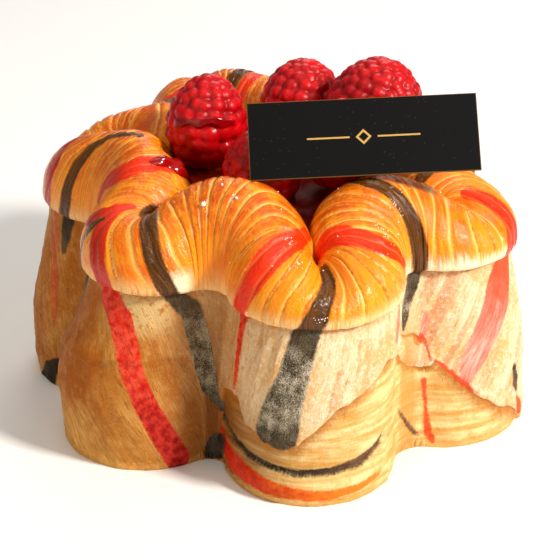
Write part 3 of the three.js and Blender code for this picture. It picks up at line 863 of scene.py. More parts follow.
def add_node(kind, inputs=None, **settings):
    """Adds a node, and gives what it puts out by number and by name."""
    node = tree.nodes.new("ShaderNode" + kind)
    for key, value in settings.items():
        setattr(node, key, value)
    feed(node, inputs or {})
    return {key: Value(made) for k, made in reversed(list(enumerate(node.outputs))) for key in (k, made.name)}


def math_of(operation, *values):
    return add_node("Math", dict(enumerate(values)), operation=operation)[0]


def ramp(value, low, high, to_low=0.0, to_high=1.0, soft=True):
    """Goes from one number to another while the value goes from low to high."""
    inputs = {"Value": value, "From Min": low, "From Max": high, "To Min": to_low, "To Max": to_high}
    return add_node("MapRange", inputs, interpolation_type="SMOOTHSTEP" if soft else "LINEAR")[0]


def screen_colour(colour):
    """A colour as seen on screen, from 0 to 255, turned into the light that a shader works with."""
    return tuple((c / 255 / 12.92) if c < 11 else ((c / 255 + 0.055) / 1.055) ** 2.4 for c in colour) + (1,)


def mix(share, one, two):
    """Colours are values, or three numbers as seen on screen."""
    one, two = (screen_colour(c) if isinstance(c, tuple) else c for c in (one, two))
    return add_node("Mix", {0: share, 6: one, 7: two}, data_type="RGBA")[2]


def coats(colour, *layers):
    """Lays colours over each other, each with the share that it covers."""
    for share, above in layers:
        colour = mix(share, colour, above)
    return colour


def noise_at(vector, scale, detail=3.0, roughness=0.6):
    inputs = {"Vector": vector, "Scale": scale, "Detail": detail, "Roughness": roughness}
    return add_node("TexNoise", inputs)[0]


def bump_of(height, strength, distance):
    return add_node("Bump", {"Height": height, "Strength": strength, "Distance": distance})[0]


def read_value(name):
    return add_node("Attribute", attribute_name=name)["Fac"]


def object_place():
    return add_node("TexCoord")["Object"]


def new_material(name):
    """Starts a material, which the helpers then add to, and gives it with its shader."""
    global tree
    material = bpy.data.materials.new(name)
    material.use_nodes = True
    tree = material.node_tree
    return material, tree.nodes["Principled BSDF"]


def with_shine(material, name, specular):
    """The same finish with more or less shine."""
    copy = material.copy()
    copy.name = name
    copy.node_tree.nodes["Principled BSDF"].inputs["Specular IOR Level"].default_value = specular
    return copy


def new_group(name, inputs, outputs):
    """Starts a node group. Gives the group, the values that go in, and the node that takes the results."""
    global tree
    tree = bpy.data.node_groups.new(name, "ShaderNodeTree")
    for socket, value in inputs.items():
        kind = "NodeSocketVector" if value is None else "NodeSocketFloat"
        made = tree.interface.new_socket(socket, in_out="INPUT", socket_type=kind)
        if value is not None:
            made.default_value = value
    for socket in outputs:
        tree.interface.new_socket(socket, in_out="OUTPUT", socket_type="NodeSocketFloat")
    given = {made.name: Value(made) for made in tree.nodes.new("NodeGroupInput").outputs}
    return tree, given, tree.nodes.new("NodeGroupOutput")


def use_group(group, **inputs):
    return add_node("Group", inputs, node_tree=group)


# %% Fibres and specks
fibre_tree, given, result = new_group("dough_fibres", dict(Vector=None, Across=2.4, Along=0.16), ["Fibre", "Patch"])
stretch = add_node("CombineXYZ", {0: given["Across"], 1: given["Across"], 2: given["Along"]})[0]
stretched = add_node("VectorMath", {0: given["Vector"], 1: stretch}, operation="MULTIPLY")[0]
feed(result, {"Fibre": noise_at(stretched, 1), "Patch": noise_at(given["Vector"], 0.16, 3, 0.55)})

speck_tree, given, result = new_group("specks", dict(Vector=None, Scale=1.0, Share=0.2), ["Mask"])
cells = add_node("TexVoronoi", {"Vector": given["Vector"], "Scale": given["Scale"]})
chance = add_node("SeparateColor", {0: cells["Color"]})[0]
feed(result, {"Mask": math_of("LESS_THAN", chance, given["Share"]) * ramp(cells["Distance"], 0.42, 0.22)})
print("shared groups:", [g.name for g in bpy.data.node_groups])

# %% [markdown]
# The pastry's finish is read off the values that the ring carries, so it is built up in the order that the
# oven and the baker did it: the dry fibrous sides, the layers below the flaps, the glazed cap with its pale
# grooves, then the stripes, and last the jam that has soaked in round the well. Some of these layers are
# painted shade: in the hollows, under the lip and the flaps, deep in the notches and over the left side.

# %% Pastry: where a point is, and what grows there
pastry, pastry_shader = new_material("pastry")
place_mm = add_node("VectorMath", {0: object_place(), 1: (1000, 1000, 1000)}, operation="MULTIPLY")[0]
axes = add_node("SeparateXYZ", {0: place_mm})
x_mm, y_mm, z_mm = axes[0], axes[1], axes[2]
strand = add_node("Attribute", attribute_name="grain")["Vector"]
level, groove, tone, flap, bend, hollow = map(read_value, ("level", "groove", "tone", "flap", "bend", "hollow"))
wall_fibre = use_group(fibre_tree, Vector=strand, Across=2.3, Along=0.24)
cap_fibre = use_group(fibre_tree, Vector=strand, Across=3.1, Along=0.12)
pore_fibre = use_group(fibre_tree, Vector=strand, Across=1.5, Along=0.5)["Fibre"]
layer_fibre = use_group(fibre_tree, Vector=place_mm, Across=0.08, Along=0.75)["Fibre"]
blotch, cloud, mottle = noise_at(place_mm, 0.1), noise_at(place_mm, 0.32, 3, 0.6), noise_at(place_mm, 0.75, 3, 0.5)
crumb, fray = noise_at(place_mm, 1.2, 4, 0.75), noise_at(place_mm, 1.3, 4, 0.65)
grain, hair = noise_at(place_mm, 4.2, 3, 0.7), noise_at(place_mm, 5, 3, 0.75)
# How far to the left a point lies, less so at the back: painted shade browns the pastry there, over some real baked
# colour.
shaded_left = ramp(x_mm, 8, -30) * ramp(y_mm, -5, 25, 1, 0.45)
right_side, far_left = ramp(x_mm, 16, 30), ramp(x_mm, -30, -40)
on_cap = ramp(level, 40.9, 41.1)
off_cap = 1 - on_cap
print("the pastry reads", len(tree.nodes), "nodes")

# %% Pastry: dry sides


def lit_right_shaded_left(right, left):
    """Paler on the lit right and in front, browner on the left: partly the bake and partly painted shade on the
    side away from the light.
    """
    return mix(shaded_left, right, left)


streaks = ramp(wall_fibre["Fibre"], 0.26, 0.72) * ramp(wall_fibre["Patch"], 0.35, 0.6, 0.35, 1)
pores = ramp(pore_fibre, 0.6, 0.67, 0, 0.5)
front_left = ramp(y_mm, -14, -22)
amber = ramp(x_mm, -35, -43) * front_left * ramp(cloud, 0.35, 0.6, 0.45, 0.95) * ramp(level, 11, 17)
pale_low = ramp(x_mm, -26, -36) * front_left * ramp(level + cloud * 12, 24, 12, 0, 0.6)
# Painted shade low on the side, in the notch between the front lobe and the left one.
notch_shade = ramp(x_mm, 0, -10) * ramp(x_mm, -26, -18) * ramp(y_mm, -20, -28) * ramp(level, 26, 14, 0, 0.8)
cream_patch = ramp(x_mm, -38, -34) * ramp(x_mm, -20, -26) * ramp(level, 30, 36) * ramp(mottle, 0.3, 0.5) * 0.85
wall = coats(
    mix(streaks, lit_right_shaded_left((236, 194, 136), (186, 112, 30)), lit_right_shaded_left((248, 226, 188), (218, 156, 78))),
    (ramp(blotch + cloud * 0.35, 0.6, 0.82, 0, 0.8), lit_right_shaded_left((230, 170, 92), (178, 94, 4))),
    # Painted shade: darker in the hollows between the ribs and fibres.
    (ramp(hollow, 0.1, 0.9) * 0.6, lit_right_shaded_left(mix(right_side, (210, 138, 70), (222, 140, 96)), (150, 82, 14))),
    (ramp(crumb, 0.46, 0.74) * ramp(x_mm, -22, 2, 0.25, 0.75), lit_right_shaded_left((255, 246, 226), (236, 192, 126))),
    (pores, lit_right_shaded_left((206, 140, 78), (126, 66, 8))),
    (amber, (172, 88, 0)),
    (pale_low, mix(streaks, (190, 122, 44), (240, 188, 98))),
    (notch_shade, (150, 84, 10)),
    (cream_patch, (228, 194, 134)),
    # Painted shade just under the lip, where the cap overhangs the side.
    (ramp(level, 38.5, 41) * ramp(fray, 0.3, 0.6) * 0.8, (190, 124, 60)),
)
print("nodes with the sides:", len(tree.nodes))

# %% Pastry: layers below the flaps, and the foot
layers, below_flap = ramp(layer_fibre, 0.3, 0.7), ramp(flap, 0.2, -0.2)
low_dough = coats(
    mix(layers, (220, 160, 78), (248, 218, 154)),
    (ramp(cloud, 0.48, 0.7, 0, 0.45), (218, 150, 60)),
    (ramp(crumb, 0.56, 0.7, 0, 0.5), (252, 230, 178)),
    # Painted shade on the layers low on the left of the front lobe, by the notch.
    (ramp(x_mm, 6, -12, 0, 0.95), mix(layers, (116, 62, 6), (160, 96, 22))),
)
wall = coats(
    wall,
    (below_flap, low_dough),
    # Painted shadow just under a flap's ragged edge.
    (ramp(flap, 0.3, -0.1) * ramp(flap + fray * 5, -2.5, 2.4) * 0.85, (176, 100, 16)),
    # Painted shade deep in the notches, darker low down and on the left.
    (ramp(bend, 0.75, 0.97) * ramp(level, 42, 16, 0.2, 0.75), mix(ramp(x_mm, 0, 12), (118, 58, 2), (214, 150, 72))),
    (ramp(level + fray * 6, 6, 3.8, 0, 0.6), mix(crumb, (214, 122, 24), (250, 206, 116))),
)
print("nodes with the layers:", len(tree.nodes))

# %% Pastry: glazed cap
cap_strand = cap_fibre["Fibre"]
near_lip = ramp(level + cap_strand * 9 + tone * -1.5, 50, 45)
flour = ramp(x_mm, -26, -23) * ramp(x_mm, -17, -20) * ramp(level + fray * 6, 51, 47) * ramp(y_mm, -25, -30)
gold = coats(
    mix(tone, (252, 154, 14), (232, 104, 0)),
    (ramp(cap_fibre["Patch"], 0.42, 0.62, 0, 0.8), (246, 146, 16)),
    (ramp(z_mm, 47, 60) * ramp(cloud, 0.3, 0.58) * 0.85, (200, 72, 0)),
    (ramp(cap_strand, 0.52, 0.68, 0, 0.45), (255, 178, 56)),
    (ramp(cap_strand, 0.44, 0.32, 0, 0.5), (196, 68, 0)),
    (ramp(groove, 0, 0.25) * ramp(groove, 0.7, 0.35) * 0.22, (255, 186, 70)),
    (ramp(groove, 0.3, 0.95, 0, 0.75), mix(ramp(tone + mottle * 0.9, 0.62, 0.98), (212, 86, 0), (255, 200, 98))),
    (
        near_lip * ramp(x_mm, -26, 10, 0.88, 0.95),
        mix(right_side, mix(ramp(cap_strand, 0.35, 0.6), (238, 160, 66), (255, 222, 158)), (255, 238, 200)),
    ),
    # Painted shade on the cap in the bends on the left, below the crest.
    (ramp(bend, 0.7, 0.98) * ramp(level, 54, 46) * shaded_left * 0.2, (214, 112, 4)),
    (flour * 0.85, (252, 236, 202)),
)
base = mix(on_cap, wall, gold)
print("nodes with the cap:", len(tree.nodes))

# %% Pastry: stripes


def stripe_mask(name, softness):
    edge = (fray - 0.5) * ramp(on_cap, 0, 1, 1.1, 0.7)
    return ramp(read_value(name) + edge, -softness, softness)


dark = stripe_mask("dark", 0.35)
faded = far_left * ramp(y_mm, -16, -8) * off_cap * 0.6
red = stripe_mask("red", 0.3) * ramp(faded, 0, 1, 1, 0, soft=False)
pinker = right_side * ramp(z_mm * -0.06 + x_mm * -0.05 + cloud * 1.4, -4, -2.9) * ramp(flap, 0.7, 1.6)
rim_red = mix(ramp(mottle * 0.5 + x_mm * 0.02, 0.05, 0.55), (206, 40, 0), (246, 128, 30))
red_wall = coats(
    mix(ramp(mottle, 0.3, 0.75), (214, 26, 8), (244, 86, 52)),
    (ramp(level, 26, 12, 0, 0.9), mix(ramp(mottle, 0.3, 0.7), (150, 8, 2), (212, 34, 14))),
    (pores * 1.2, (120, 6, 2)),
    (right_side, (250, 86, 50)),
    (pinker, mix(streaks, (244, 112, 92), (253, 190, 170))),
    (ramp(level, 16, 12) * right_side, mix(mottle, (226, 40, 8), (248, 120, 60))),
    (ramp(level, 10.5, 9) * ramp(y_mm, -44, -48), rim_red),
)
red_cap = coats(
    mix(ramp(groove, 0.4, 0.9, 0, 0.5), (236, 44, 2), (250, 120, 60)),
    (ramp(cap_strand, 0.5, 0.7, 0, 0.5), (250, 88, 24)),
    # Painted shade on the red over the far left of the cap.
    (far_left * 0.7, (160, 26, 0)),
)
fuzz = ramp(hair + cloud * 0.6 + ramp(x_mm, -18, 2, 0.04, 0), 0.72, 1)
fuzz = fuzz * ramp(level, 38.5, 33, 0.15, 1) * ramp(level, 14, 24, 0.15, 1) * ramp(y_mm, -16, -32, 0.35, 1)
dark_wall = coats(
    mix(streaks, (46, 32, 16), (98, 78, 50)),
    (ramp(level, 14, 11), mix(ramp(x_mm, 2, 20), (46, 32, 18), mix(mottle, (60, 34, 14), (140, 94, 58)))),
    (fuzz, lit_right_shaded_left((236, 222, 194), (186, 162, 124))),
)
dark_cap = mix(ramp(cap_strand, 0.35, 0.7), (66, 34, 0), (112, 64, 2))
base = coats(base, (red, mix(on_cap, red_wall, red_cap)), (dark, mix(on_cap, dark_wall, dark_cap)))
print("nodes with the stripes:", len(tree.nodes))

# %% Pastry: jam round the well, gloss and fine relief
from_middle = math_of("SQRT", math_of("POWER", x_mm, 2) + math_of("POWER", y_mm, 2))
stain = ramp(from_middle, 34, 29) * ramp(z_mm + fray * 4, 56, 53.5)
glaze = on_cap * ramp(level, 42, 46, 0.5, 1) * (1 - stain)
wet_red = red * shaded_left * off_cap * ramp(mottle, 0.35, 0.65)
wall_height = mix(below_flap, wall_fibre["Fibre"] * 0.8 + crumb * 1.3, layer_fibre * 0.7 + crumb * 0.9)
wall_height = wall_height + grain * 0.5 + (dark * (grain + hair) * 0.9 + pores * -0.6)
cap_height = cap_strand * 0.3 + noise_at(place_mm, 1.5, 2, 0.5) * 0.75 + noise_at(place_mm, 4, 2, 0.5) * 0.22
feed(
    pastry_shader,
    {
        "Base Color": mix(stain, base, (92, 14, 4)),
        "Roughness": ramp(glaze, 0, 1, 0.5, 0.11, soft=False) + ramp(cloud, 0.45, 0.7) * 0.14,
        "Coat Weight": ramp(glaze, 0, 1, 0.02, 0.07, soft=False) + wet_red * 0.3,
        "Coat Roughness": 0.1,
        "Specular IOR Level": 0.28,
        "Normal": bump_of(mix(on_cap, wall_height, cap_height), 0.75, 0.00045),
    },
)
finish_piece(sides, "band_sides", "pastry", with_shine(pastry, "dry_pastry", 0.12), "pastry_ring")
finish_piece(cap, "band_cap", "pastry", pastry, "pastry_ring")

# %% [markdown]
# ## The dough inside the band
# Below the creases the band is backed by dough, which closes the bottom and carries the well. It starts as a
# circle with one vertex for each place on the band's middle line, is extruded upwards, and the bowl of the
# well is cut out of it with a turned shape.

# %% Floor with its well
STAR_TOP, FLOOR_TOP = 45.6, 49.4
WELL_WALL = [(0, 28), (15, 28), (18.9, 35.5), (21.6, 43), (22.4, 49.5), (22.4, 55), (0, 55)]
CORNERS = 160
nothing_selected()
bpy.ops.mesh.primitive_circle_add(vertices=CORNERS, radius=0.03, fill_type="NGON")
floor_dough = bpy.context.object
line = []
for k in range(CORNERS):
    column = Column(k * BAND_LENGTH / CORNERS)
    tip = 1 - float(smooth(0, 0.5, column.bendness))  # held back from the tips, where the cap dips below the floor
    line.append(column.points(np.array([-6.5 * tip]), np.array([43.0]))[0])
line = np.array(line)
line[:, 2] = 0.2
set_points(floor_dough, line * MM)
bpy.ops.object.mode_set(mode="EDIT")
bpy.ops.mesh.select_all(action="SELECT")
bpy.ops.mesh.extrude_region_move(TRANSFORM_OT_translate={"value": (0, 0, (STAR_TOP - 0.2) * MM)})
bpy.ops.mesh.select_all(action="SELECT")
bpy.ops.mesh.normals_make_consistent(inside=False)
bpy.ops.object.mode_set(mode="OBJECT")
print("floor of", len(floor_dough.data.vertices), "vertices")


def turned(name, profile, steps):
    """A closed solid turned from a profile of radius and height that starts and ends on the axis."""
    shape = bmesh.new()
    verts = [shape.verts.new((r * MM, 0, z * MM)) for r, z in profile]
    edges = [shape.edges.new(pair) for pair in zip(verts, verts[1:])]
    bmesh.ops.spin(shape, geom=verts + edges, axis=(0, 0, 1), angle=2 * math.pi, steps=steps, use_duplicate=False)
    bmesh.ops.remove_doubles(shape, verts=shape.verts, dist=1e-6)
    bmesh.ops.recalc_face_normals(shape, faces=shape.faces)
    data = bpy.data.meshes.new(name)
    shape.to_mesh(data)
    shape.free()
    piece = bpy.data.objects.new(name, data)
    bpy.context.scene.collection.objects.link(piece)
    return piece


def combine(piece, tool, operation):
    modifier = piece.modifiers.new("combine", "BOOLEAN")
    modifier.operation, modifier.solver, modifier.object = operation, "EXACT", tool
    nothing_selected()
    bpy.context.view_layer.objects.active = piece
    piece.select_set(True)
    bpy.ops.object.modifier_apply(modifier="combine")
    bpy.data.objects.remove(tool)


DISC = [(0, 40), (30.5, 40), (31.2, 46), (31, 48.2), (30, 49.1), (28, FLOOR_TOP), (0, FLOOR_TOP)]
combine(floor_dough, turned("disc", DISC, 96), "UNION")
combine(floor_dough, turned("well", WELL_WALL, 64), "DIFFERENCE")
paint_values(floor_dough, "flap", np.full(len(floor_dough.data.vertices), 8.0))
for name in ("red", "dark"):
    paint_values(floor_dough, name, np.full(len(floor_dough.data.vertices), -4.0))
finish_piece(floor_dough, "floor_dough", "pastry", pastry)

# %% [markdown]
# ## Jam
# The jam fills the bowl to a low mound and has run out over the floor of the lobes. Both surfaces are made
# from a sphere whose upper half becomes the top and whose lower half becomes the underside, because a
# sphere is closed and its rings already run round the middle.

# %% Jam in the well and over the floor
jam_swell, jam_edge = uneven(21, 7, 5), uneven(22, 20, 30)
BERRIES = [
    dict(name="raspberry_left", at=(-16.5, 3.2, 62.2), radius=8.4, half=10.3, lean=(7, 3), turn=10),
    dict(name="raspberry_back", at=(5.4, 18, 61.4), radius=9.3, half=9.4, lean=(3, 8), turn=75),
    dict(name="raspberry_right", at=(21.7, 5.8, 65), radius=10.5, half=10.6, lean=(14, -6), turn=140),
    dict(name="raspberry_front", at=(-3.8, -14.8, 58.6), radius=7.9, half=8.4, lean=(2, -8), turn=200),
    dict(name="raspberry_hidden", at=(13.3, -12.6, 63.1), radius=8, half=9.4, lean=(6, 2), turn=260),
]


def jam_body(reach, top, under):
    nothing_selected()
    bpy.ops.mesh.primitive_uv_sphere_add(segments=160, ring_count=96, radius=1)
    piece = bpy.context.object
    unit = points_of(piece)
    turn = np.arctan2(unit[:, 1], unit[:, 0])
    share = np.degrees(np.arccos(np.clip(unit[:, 2], -1, 1))) / 90
    share_out = np.where(share < 1, share, 2 - share)
    rim = reach(turn)
    radius = rim * np.where(share < 1, share_out ** 0.8, share_out)
    x, y = radius * np.cos(turn), radius * np.sin(turn)
    height = np.where(share <= 1, top(x, y, share_out), under(x, y, share_out))
    set_points(piece, np.column_stack([x, y, height]) * MM)
    return piece


def climb(x, y):
    """Jam creeps up a little where it touches a berry."""
    rise = np.zeros_like(x)
    for berry in BERRIES:
        apart = np.hypot(x - berry["at"][0], y - berry["at"][1]) - berry["radius"]
        rise = np.maximum(rise, 0.9 * np.exp(-np.maximum(apart, 0) / 2.4))
    return rise


def mound(x, y, share):
    base = 50.3 + 1.6 * np.cos(share * np.pi / 2) + 0.25 * jam_swell(x + 60, y + 60)
    return base + climb(x, y) * smooth(1, 0.9, share)


jam_well = jam_body(
    lambda turn: np.full_like(turn, 22.1),
    mound,
    lambda x, y, share: np.interp(share, [0, 15 / 22.1, 0.85, 0.97, 1], [28.3, 28.3, 35.8, 43.3, 50.3]),
)


def spread_reach(turn):
    around = (turn % (2 * np.pi)) * BAND_LENGTH / (2 * np.pi)
    return 29.6 + 1.4 * jam_edge(around, 0)


def spread_top(x, y, share):
    base = 49.5 + 1.1 * np.sqrt(np.clip(1 - share**6, 0, 1)) + 0.2 * jam_swell(x + 60, y + 60)
    return base + climb(x, y) * smooth(1, 0.9, share)


jam_spread = jam_body(spread_reach, spread_top, lambda x, y, share: np.full_like(x, 49.2))

jam_material, shader = new_material("jam")
place = object_place()
murk, height = noise_at(place, 260, 3, 0.5), add_node("SeparateXYZ", {0: place})[2]
jam_colour = mix(ramp(murk, 0.35, 0.7), (120, 22, 5), (164, 38, 12))
feed(
    shader,
    {
        "Base Color": mix(ramp(height, 0.0535, 0.055), jam_colour, (150, 5, 2)),
        "Roughness": ramp(height, 0.0525, 0.054, 0.38, 0.1),
        "Coat Weight": ramp(height, 0.0525, 0.054, 0.0, 0.3),
        "Coat Roughness": 0.06,
        "Specular IOR Level": 0.04,
        "Normal": bump_of(murk, 0.2, 0.0006),
    },
)
finish_piece(jam_well, "jam_well", "jam", jam_material, "jam")
finish_piece(jam_spread, "jam_spread", "jam", jam_material)

# %% [markdown]
# Two thin things lie on the cap itself: a run of jam that has come over the red stripe at the far left, and
# white flecks: a few of sugar, and clusters that are painted highlights standing in for glints on the glaze.
# Both are placed by place and level, and lifted off the baked surface along its own slope.

# %% Jam over the cap, sugar flecks and painted glints


def over_cap(place, level, lift):
    """A point at a small height over the finished surface of the cap, in millimetres."""
    column = Column(place)
    levels = np.array([level - 0.5, level, level + 0.5])
    offset, height = cap_face(column, levels)
    out = cap_relief(column, levels)[0]
    return column.points(*stand_out(offset, height, out + lift))[1]


RUN = [
    (-56.8, 86, 1.8), (-55.4, 80, 1.9), (-54.2, 75.5, 1.7), (-53.0, 72.4, 1.5), (-52.0, 69.4, 1.2),
    (-51.2, 66.5, 0.8),
]
nothing_selected()
bpy.ops.mesh.primitive_uv_sphere_add(segments=64, ring_count=40, radius=1, rotation=(0, 0, 0))
jam_run = bpy.context.object
spots = []
for across, rise, along in points_of(jam_run):
    where = (1 - along) / 2 * (len(RUN) - 1)
    place, level, half = (float(np.interp(where, range(len(RUN)), [knot[k] for knot in RUN])) for k in range(3))
    half *= 1 + 0.25 * math.sin(7 * along)
    proud = (1 + 0.3 * math.sin(9 * along)) * rise if rise > 0 else 0.3 * rise
    spots.append(over_cap(place + across * half, level, proud))
set_points(jam_run, np.array(spots) * MM)
finish_piece(jam_run, "jam_run", "jam", with_shine(jam_material, "wet_jam", 0.6))

FLECKS_AND_GLINTS = [(291.8, 57.6, 0.62), (301.3, 59.2, 0.34), (296, 62, 0.3)]
fleck_rng = random.Random(3)
FLECKS_AND_GLINTS += [(fleck_rng.uniform(-30, 62), fleck_rng.uniform(47, 74), fleck_rng.uniform(0.1, 0.2)) for _ in range(30)]
# Clusters of white flecks that are painted highlights: they stand in for glints on the glaze.
GLINT_CLUSTERS = [(4.2, 66, 1.5), (8.4, 60.6, 1.3), (38.5, 55.5, 1.2), (12.2, 44.6, 0.9)]
GLINT_CLUSTERS += [(-11.2, 59, 0.7), (-19, 57.4, 0.7), (26, 57, 1.6)]
for place, level, wide in GLINT_CLUSTERS:
    for _ in range(14):
        spot = fleck_rng.gauss(place, wide / 2), fleck_rng.gauss(level, wide)
        FLECKS_AND_GLINTS.append((*spot, fleck_rng.uniform(0.07, 0.17)))
nothing_selected()
bpy.ops.mesh.primitive_ico_sphere_add(subdivisions=1, radius=1)
fleck = bpy.context.object
unit = points_of(fleck).copy()
flecks = []
for place, level, size in FLECKS_AND_GLINTS:
    copy = bpy.data.objects.new("fleck", fleck.data.copy())
    bpy.context.scene.collection.objects.link(copy)
    shape = unit * np.array([fleck_rng.uniform(0.7, 1.2) for _ in range(3)]) * size
    set_points(copy, (shape + over_cap(place, level, size * 0.3)) * MM)
    flecks.append(copy)
bpy.data.objects.remove(fleck)
nothing_selected()
for copy in flecks:
    copy.select_set(True)
bpy.context.view_layer.objects.active = flecks[0]
bpy.ops.object.join()
sugar_and_glints, shader = new_material("sugar_and_glints")
cloudy = noise_at(object_place(), 900, 2, 0.5)
feed(shader, {"Base Color": mix(cloudy, (255, 240, 210), (255, 252, 244)), "Roughness": 0.25})
finish_piece(bpy.context.object, "sugar_flecks_and_glints", "pastry", sugar_and_glints)

# %% [markdown]
# ## Raspberries
# A raspberry is a cup of round drupelets, small and close at its tip and larger towards the open end. One
# drupelet is modelled, copied over a rounded body in turned rows, and joined. A voxel remesh then fuses the
# copies into one skin, which gives the soft crease that real drupelets have where they press together.

# %% One raspberry


def drupelet_places(radius, half, seed):
    """Centres on the body as unit rays, with each drupelet's size."""
    draw = random.Random(seed)
    places, polar, row = [], 0.0, 0
    while polar < math.radians(158):
        size = 2.6 + 1.1 * smooth(20, 110, math.degrees(polar))
        around = 2 * math.pi * radius * math.sin(max(polar, 0.01)) * (1 - 0.14 * math.cos(polar)) / size
        around = max(1, round(around))
        for k in range(around):
            turn = 2 * math.pi * (k + (row % 2) / 2 + 0.4 * (draw.random() - 0.5)) / around
            tilt = polar + math.radians(7) * (draw.random() - 0.5)
            ray = math.sin(tilt) * math.cos(turn), math.sin(tilt) * math.sin(turn), math.cos(tilt)
            places.append((*ray, size * (0.88 + 0.26 * draw.random())))
        polar += 0.88 * size / ((radius + half) / 2)
        row += 1
    return np.array(places)


def raspberry(name, at, radius, half, lean, turn):
    places = drupelet_places(radius, half, int(turn))
    ray, size = places[:, :3], places[:, 3]
    flat = radius * (1 - 0.14 * ray[:, 2:3])
    centres = np.column_stack([ray[:, :2] * flat, ray[:, 2:] * half])
    outward = np.column_stack([ray[:, :2] / radius, ray[:, 2:] / half])
    outward /= np.linalg.norm(outward, axis=1)[:, None]
    centres -= outward * (0.72 * size[:, None] - 0.95)
    nothing_selected()
    bpy.ops.mesh.primitive_uv_sphere_add(segments=32, ring_count=20, radius=1)
    body = bpy.context.object
    unit = points_of(body)
    taper = (radius - 1.1) * (1 - 0.14 * unit[:, 2:3])
    set_points(body, np.column_stack([unit[:, :2] * taper, unit[:, 2:] * (half - 1.1)]) * MM)
    bpy.ops.mesh.primitive_ico_sphere_add(subdivisions=3, radius=1)
    bead = bpy.context.object
    unit = points_of(bead).copy()
    parts = [body]
    for centre, way, wide in zip(centres, outward, size):
        copy = bpy.data.objects.new("drupelet", bead.data.copy())
        bpy.context.scene.collection.objects.link(copy)
        bulge = unit * (0.72 * wide)
        set_points(copy, (centre + bulge) * MM)
        parts.append(copy)
    bpy.data.objects.remove(bead)
    nothing_selected()
    for part in parts:
        part.select_set(True)
    bpy.context.view_layer.objects.active = body
    bpy.ops.object.join()
    body.data.remesh_voxel_size = 0.3 * MM
    bpy.ops.object.voxel_remesh()
    soften = body.modifiers.new("soften", "SMOOTH")
    soften.factor, soften.iterations = 0.5, 5
    bpy.ops.object.modifier_apply(modifier="soften")
    skin = points_of(body) / MM
    heights = skin[:, 2] / half
    depth = np.linalg.norm(skin / np.array([radius, radius, half]), axis=1)
    lean_x, lean_y = math.radians(-lean[1]), math.radians(lean[0])
    rotation = Matrix.Rotation(lean_x, 3, "X") @ Matrix.Rotation(lean_y, 3, "Y")
    rotation = rotation @ Matrix.Rotation(math.radians(turn), 3, "Z")
    turned_by = np.array(rotation).T
    spot = skin @ turned_by
    if name == "raspberry_left":  # a run of jam lies over its front, filling the creases
        up, out = spot @ np.array([0, 0.454, 0.891]), spot @ np.array([0, -0.891, 0.454])
        top = 0.2 + 0.2 * np.sin(0.9 * spot[:, 0])
        low = -2.1 + 0.4 * np.sin(1.3 * spot[:, 0])
        wet = smooth(0, 0.5, top - up) * smooth(0, 0.5, up - low) * smooth(0.5, 2.5, out)
        wet = wet * smooth(7.2, 6, np.abs(spot[:, 0] + 0.2))
        spot *= (1 + wet * np.maximum(0, 1.11 / depth - 1))[:, None]
    else:
        wet = heights * 0
    set_points(body, (spot + np.array(at)) * MM)
    paint_values(body, "crease", smooth(1.05, 0.99, depth))
    paint_values(body, "rise", heights)
    paint_values(body, "wet", wet)
    return body


berry_material, shader = new_material("raspberry")
place = object_place()
crease, rise, wet = map(read_value, ("crease", "rise", "wet"))
skin_colour = coats(
    mix(ramp(noise_at(place, 170, 2, 0.5), 0.35, 0.65), (178, 2, 9), (210, 11, 18)),
    (ramp(rise, 0.1, -0.7), (156, 2, 6)),
    # Painted shade in the creases between the drupelets.
    (crease * 0.7, (142, 0, 8)),
    (wet * 0.9, (126, 0, 3)),
)
feed(
    shader,
    {
        "Base Color": skin_colour,
        "Roughness": ramp(wet, 0, 1, ramp(rise, -0.5, 0.6, 0.22, 0.38), 0.06),
        "Coat Weight": ramp(wet, 0, 1, 0.04, 0.35),
        "Coat Roughness": 0.15,
        "Specular IOR Level": 0.24,
        "Subsurface Weight": 0.3,
        "Subsurface Radius": (1.0, 0.15, 0.12),
        "Subsurface Scale": 0.0015,
        "Normal": bump_of(noise_at(place, 2200, 2, 0.5), 0.12, 0.0002),
    },
)
for berry in BERRIES:
    finish_piece(raspberry(**berry), berry["name"] + "_dressed", "raspberry", berry_material, berry["name"])

# %% [markdown]
# ## The card
# A stiff black card leans over the berries. It is a thin box with its edges just taken off, and its finish
# reads a UV map of its face, so the thin gold ornament stays square to its edges.

# %% Card
CARD = dict(width=48.6, height=16.9, thick=0.6, foot=(18, -26.3, 61.6), lean=52, tilt=2.8)
nothing_selected()
bpy.ops.mesh.primitive_cube_add(size=1)
card = bpy.context.object
set_points(card, points_of(card) * np.array([CARD["width"], CARD["height"], CARD["thick"]]) * MM)
bpy.ops.object.mode_set(mode="EDIT")
bpy.ops.mesh.select_all(action="SELECT")
bpy.ops.mesh.bevel(offset=0.12 * MM, segments=2)
bpy.ops.object.mode_set(mode="OBJECT")
flat = points_of(card) / MM
uv = card.data.uv_layers.new(name="face")
for polygon in card.data.polygons:
    for k in polygon.loop_indices:
        x, y, _ = flat[card.data.loops[k].vertex_index]
        behind = polygon.normal.z < -0.5  # the back has no ornament, so it reads a plain part of the face
        part, start = (0.2, 0.8) if behind else (1, 0.5)
        uv.data[k].uv = (x / CARD["width"] + 0.5, y / CARD["height"] * part + start)
turned_by = Matrix.Rotation(math.radians(CARD["lean"]), 3, "X")
turned_by = turned_by @ Matrix.Rotation(math.radians(CARD["tilt"]), 3, "Z")
flat[:, 1] += CARD["height"] / 2
set_points(card, (flat @ np.array(turned_by).T + np.array(CARD["foot"])) * MM)

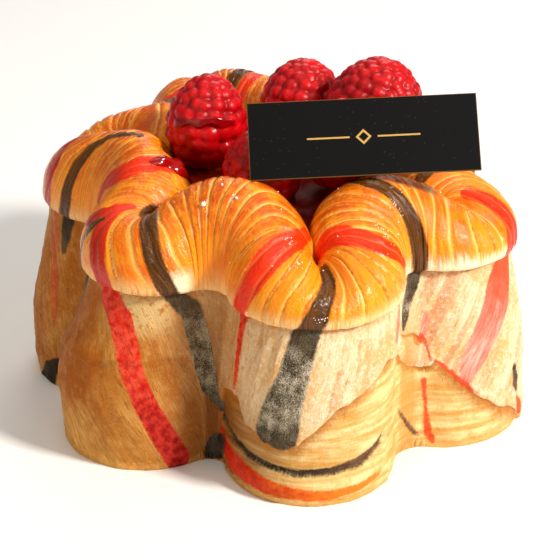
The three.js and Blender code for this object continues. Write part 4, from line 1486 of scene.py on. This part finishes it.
card_material, shader = new_material("card")
across = add_node("SeparateXYZ", {0: add_node("UVMap", uv_map="face")[0]})
far_x = math_of("ABSOLUTE", (across[0] - 0.5) * CARD["width"])
far_y = math_of("ABSOLUTE", (across[1] - 0.5) * CARD["height"])
diamond = ramp(far_x + far_y, 1.75, 1.6) - ramp(far_x + far_y, 1.15, 1.0)
rule = ramp(far_y, 0.22, 0.14) * (ramp(far_x, 12, 11.9) * ramp(far_x, 2.9, 3.0))
rim = math_of("MAXIMUM", ramp(far_x, 24.12, 24.2), ramp(far_y, 8.27, 8.35))
dust = use_group(speck_tree, Vector=object_place(), Scale=2600, Share=0.03)["Mask"]
card_colour = coats(
    mix(dust * 0.25, (9, 8, 8), (96, 92, 84)),
    (rim * 0.7, (130, 94, 44)),
    (math_of("MAXIMUM", rule, diamond), (196, 156, 84)),
)
feed(shader, {"Base Color": card_colour, "Roughness": 0.55, "Specular IOR Level": 0.1})
finish_piece(card, "card_dressed", "card", card_material, "card")
for polygon in card.data.polygons:
    polygon.use_smooth = False

# %% [markdown]
# ## Floor and light
# The floor and the surroundings are pale and plain. One large soft light from the right and in front gives
# the glints on the glaze and leaves the left side in a warm half shade, and a weak one fills that side.

# %% Floor, lights, world
nothing_selected()
bpy.ops.mesh.primitive_plane_add(size=6)
floor = bpy.context.object
floor.name = "floor"
floor_material, shader = new_material("floor")
faint = noise_at(object_place(), 6, 2, 0.5)
feed(shader, {"Base Color": mix(faint, (244, 243, 241), (248, 247, 246)), "Roughness": 0.7})
floor.data.materials.append(floor_material)


def soft_light(name, position, size, power, colour):
    bpy.ops.object.light_add(type="AREA", location=position)
    light = bpy.context.object
    light.name = name
    light.data.size, light.data.energy, light.data.color = size, power, colour
    light.rotation_euler = (TARGET - Vector(position)).to_track_quat("-Z", "Y").to_euler()
    return light


soft_light("key", (0.56, -0.34, 0.55), 0.14, 9, (1, 0.96, 0.9))
soft_light("fill", (-0.5, -0.6, 0.4), 0.6, 1.25, (1, 0.84, 0.58))
soft_light("top", (-0.12, -0.06, 0.8), 0.45, 1.3, (1, 0.95, 0.86))
soft_light("back", (0.1, 0.7, 0.6), 0.5, 2.5, (1, 0.98, 0.95))
world = bpy.data.worlds.new("studio")
bpy.context.scene.world = world
world.use_nodes = True
world.node_tree.nodes["Background"].inputs[0].default_value = (1, 1, 1, 1)
world.node_tree.nodes["Background"].inputs[1].default_value = 0.22
bpy.context.scene.view_settings.view_transform = "Standard"
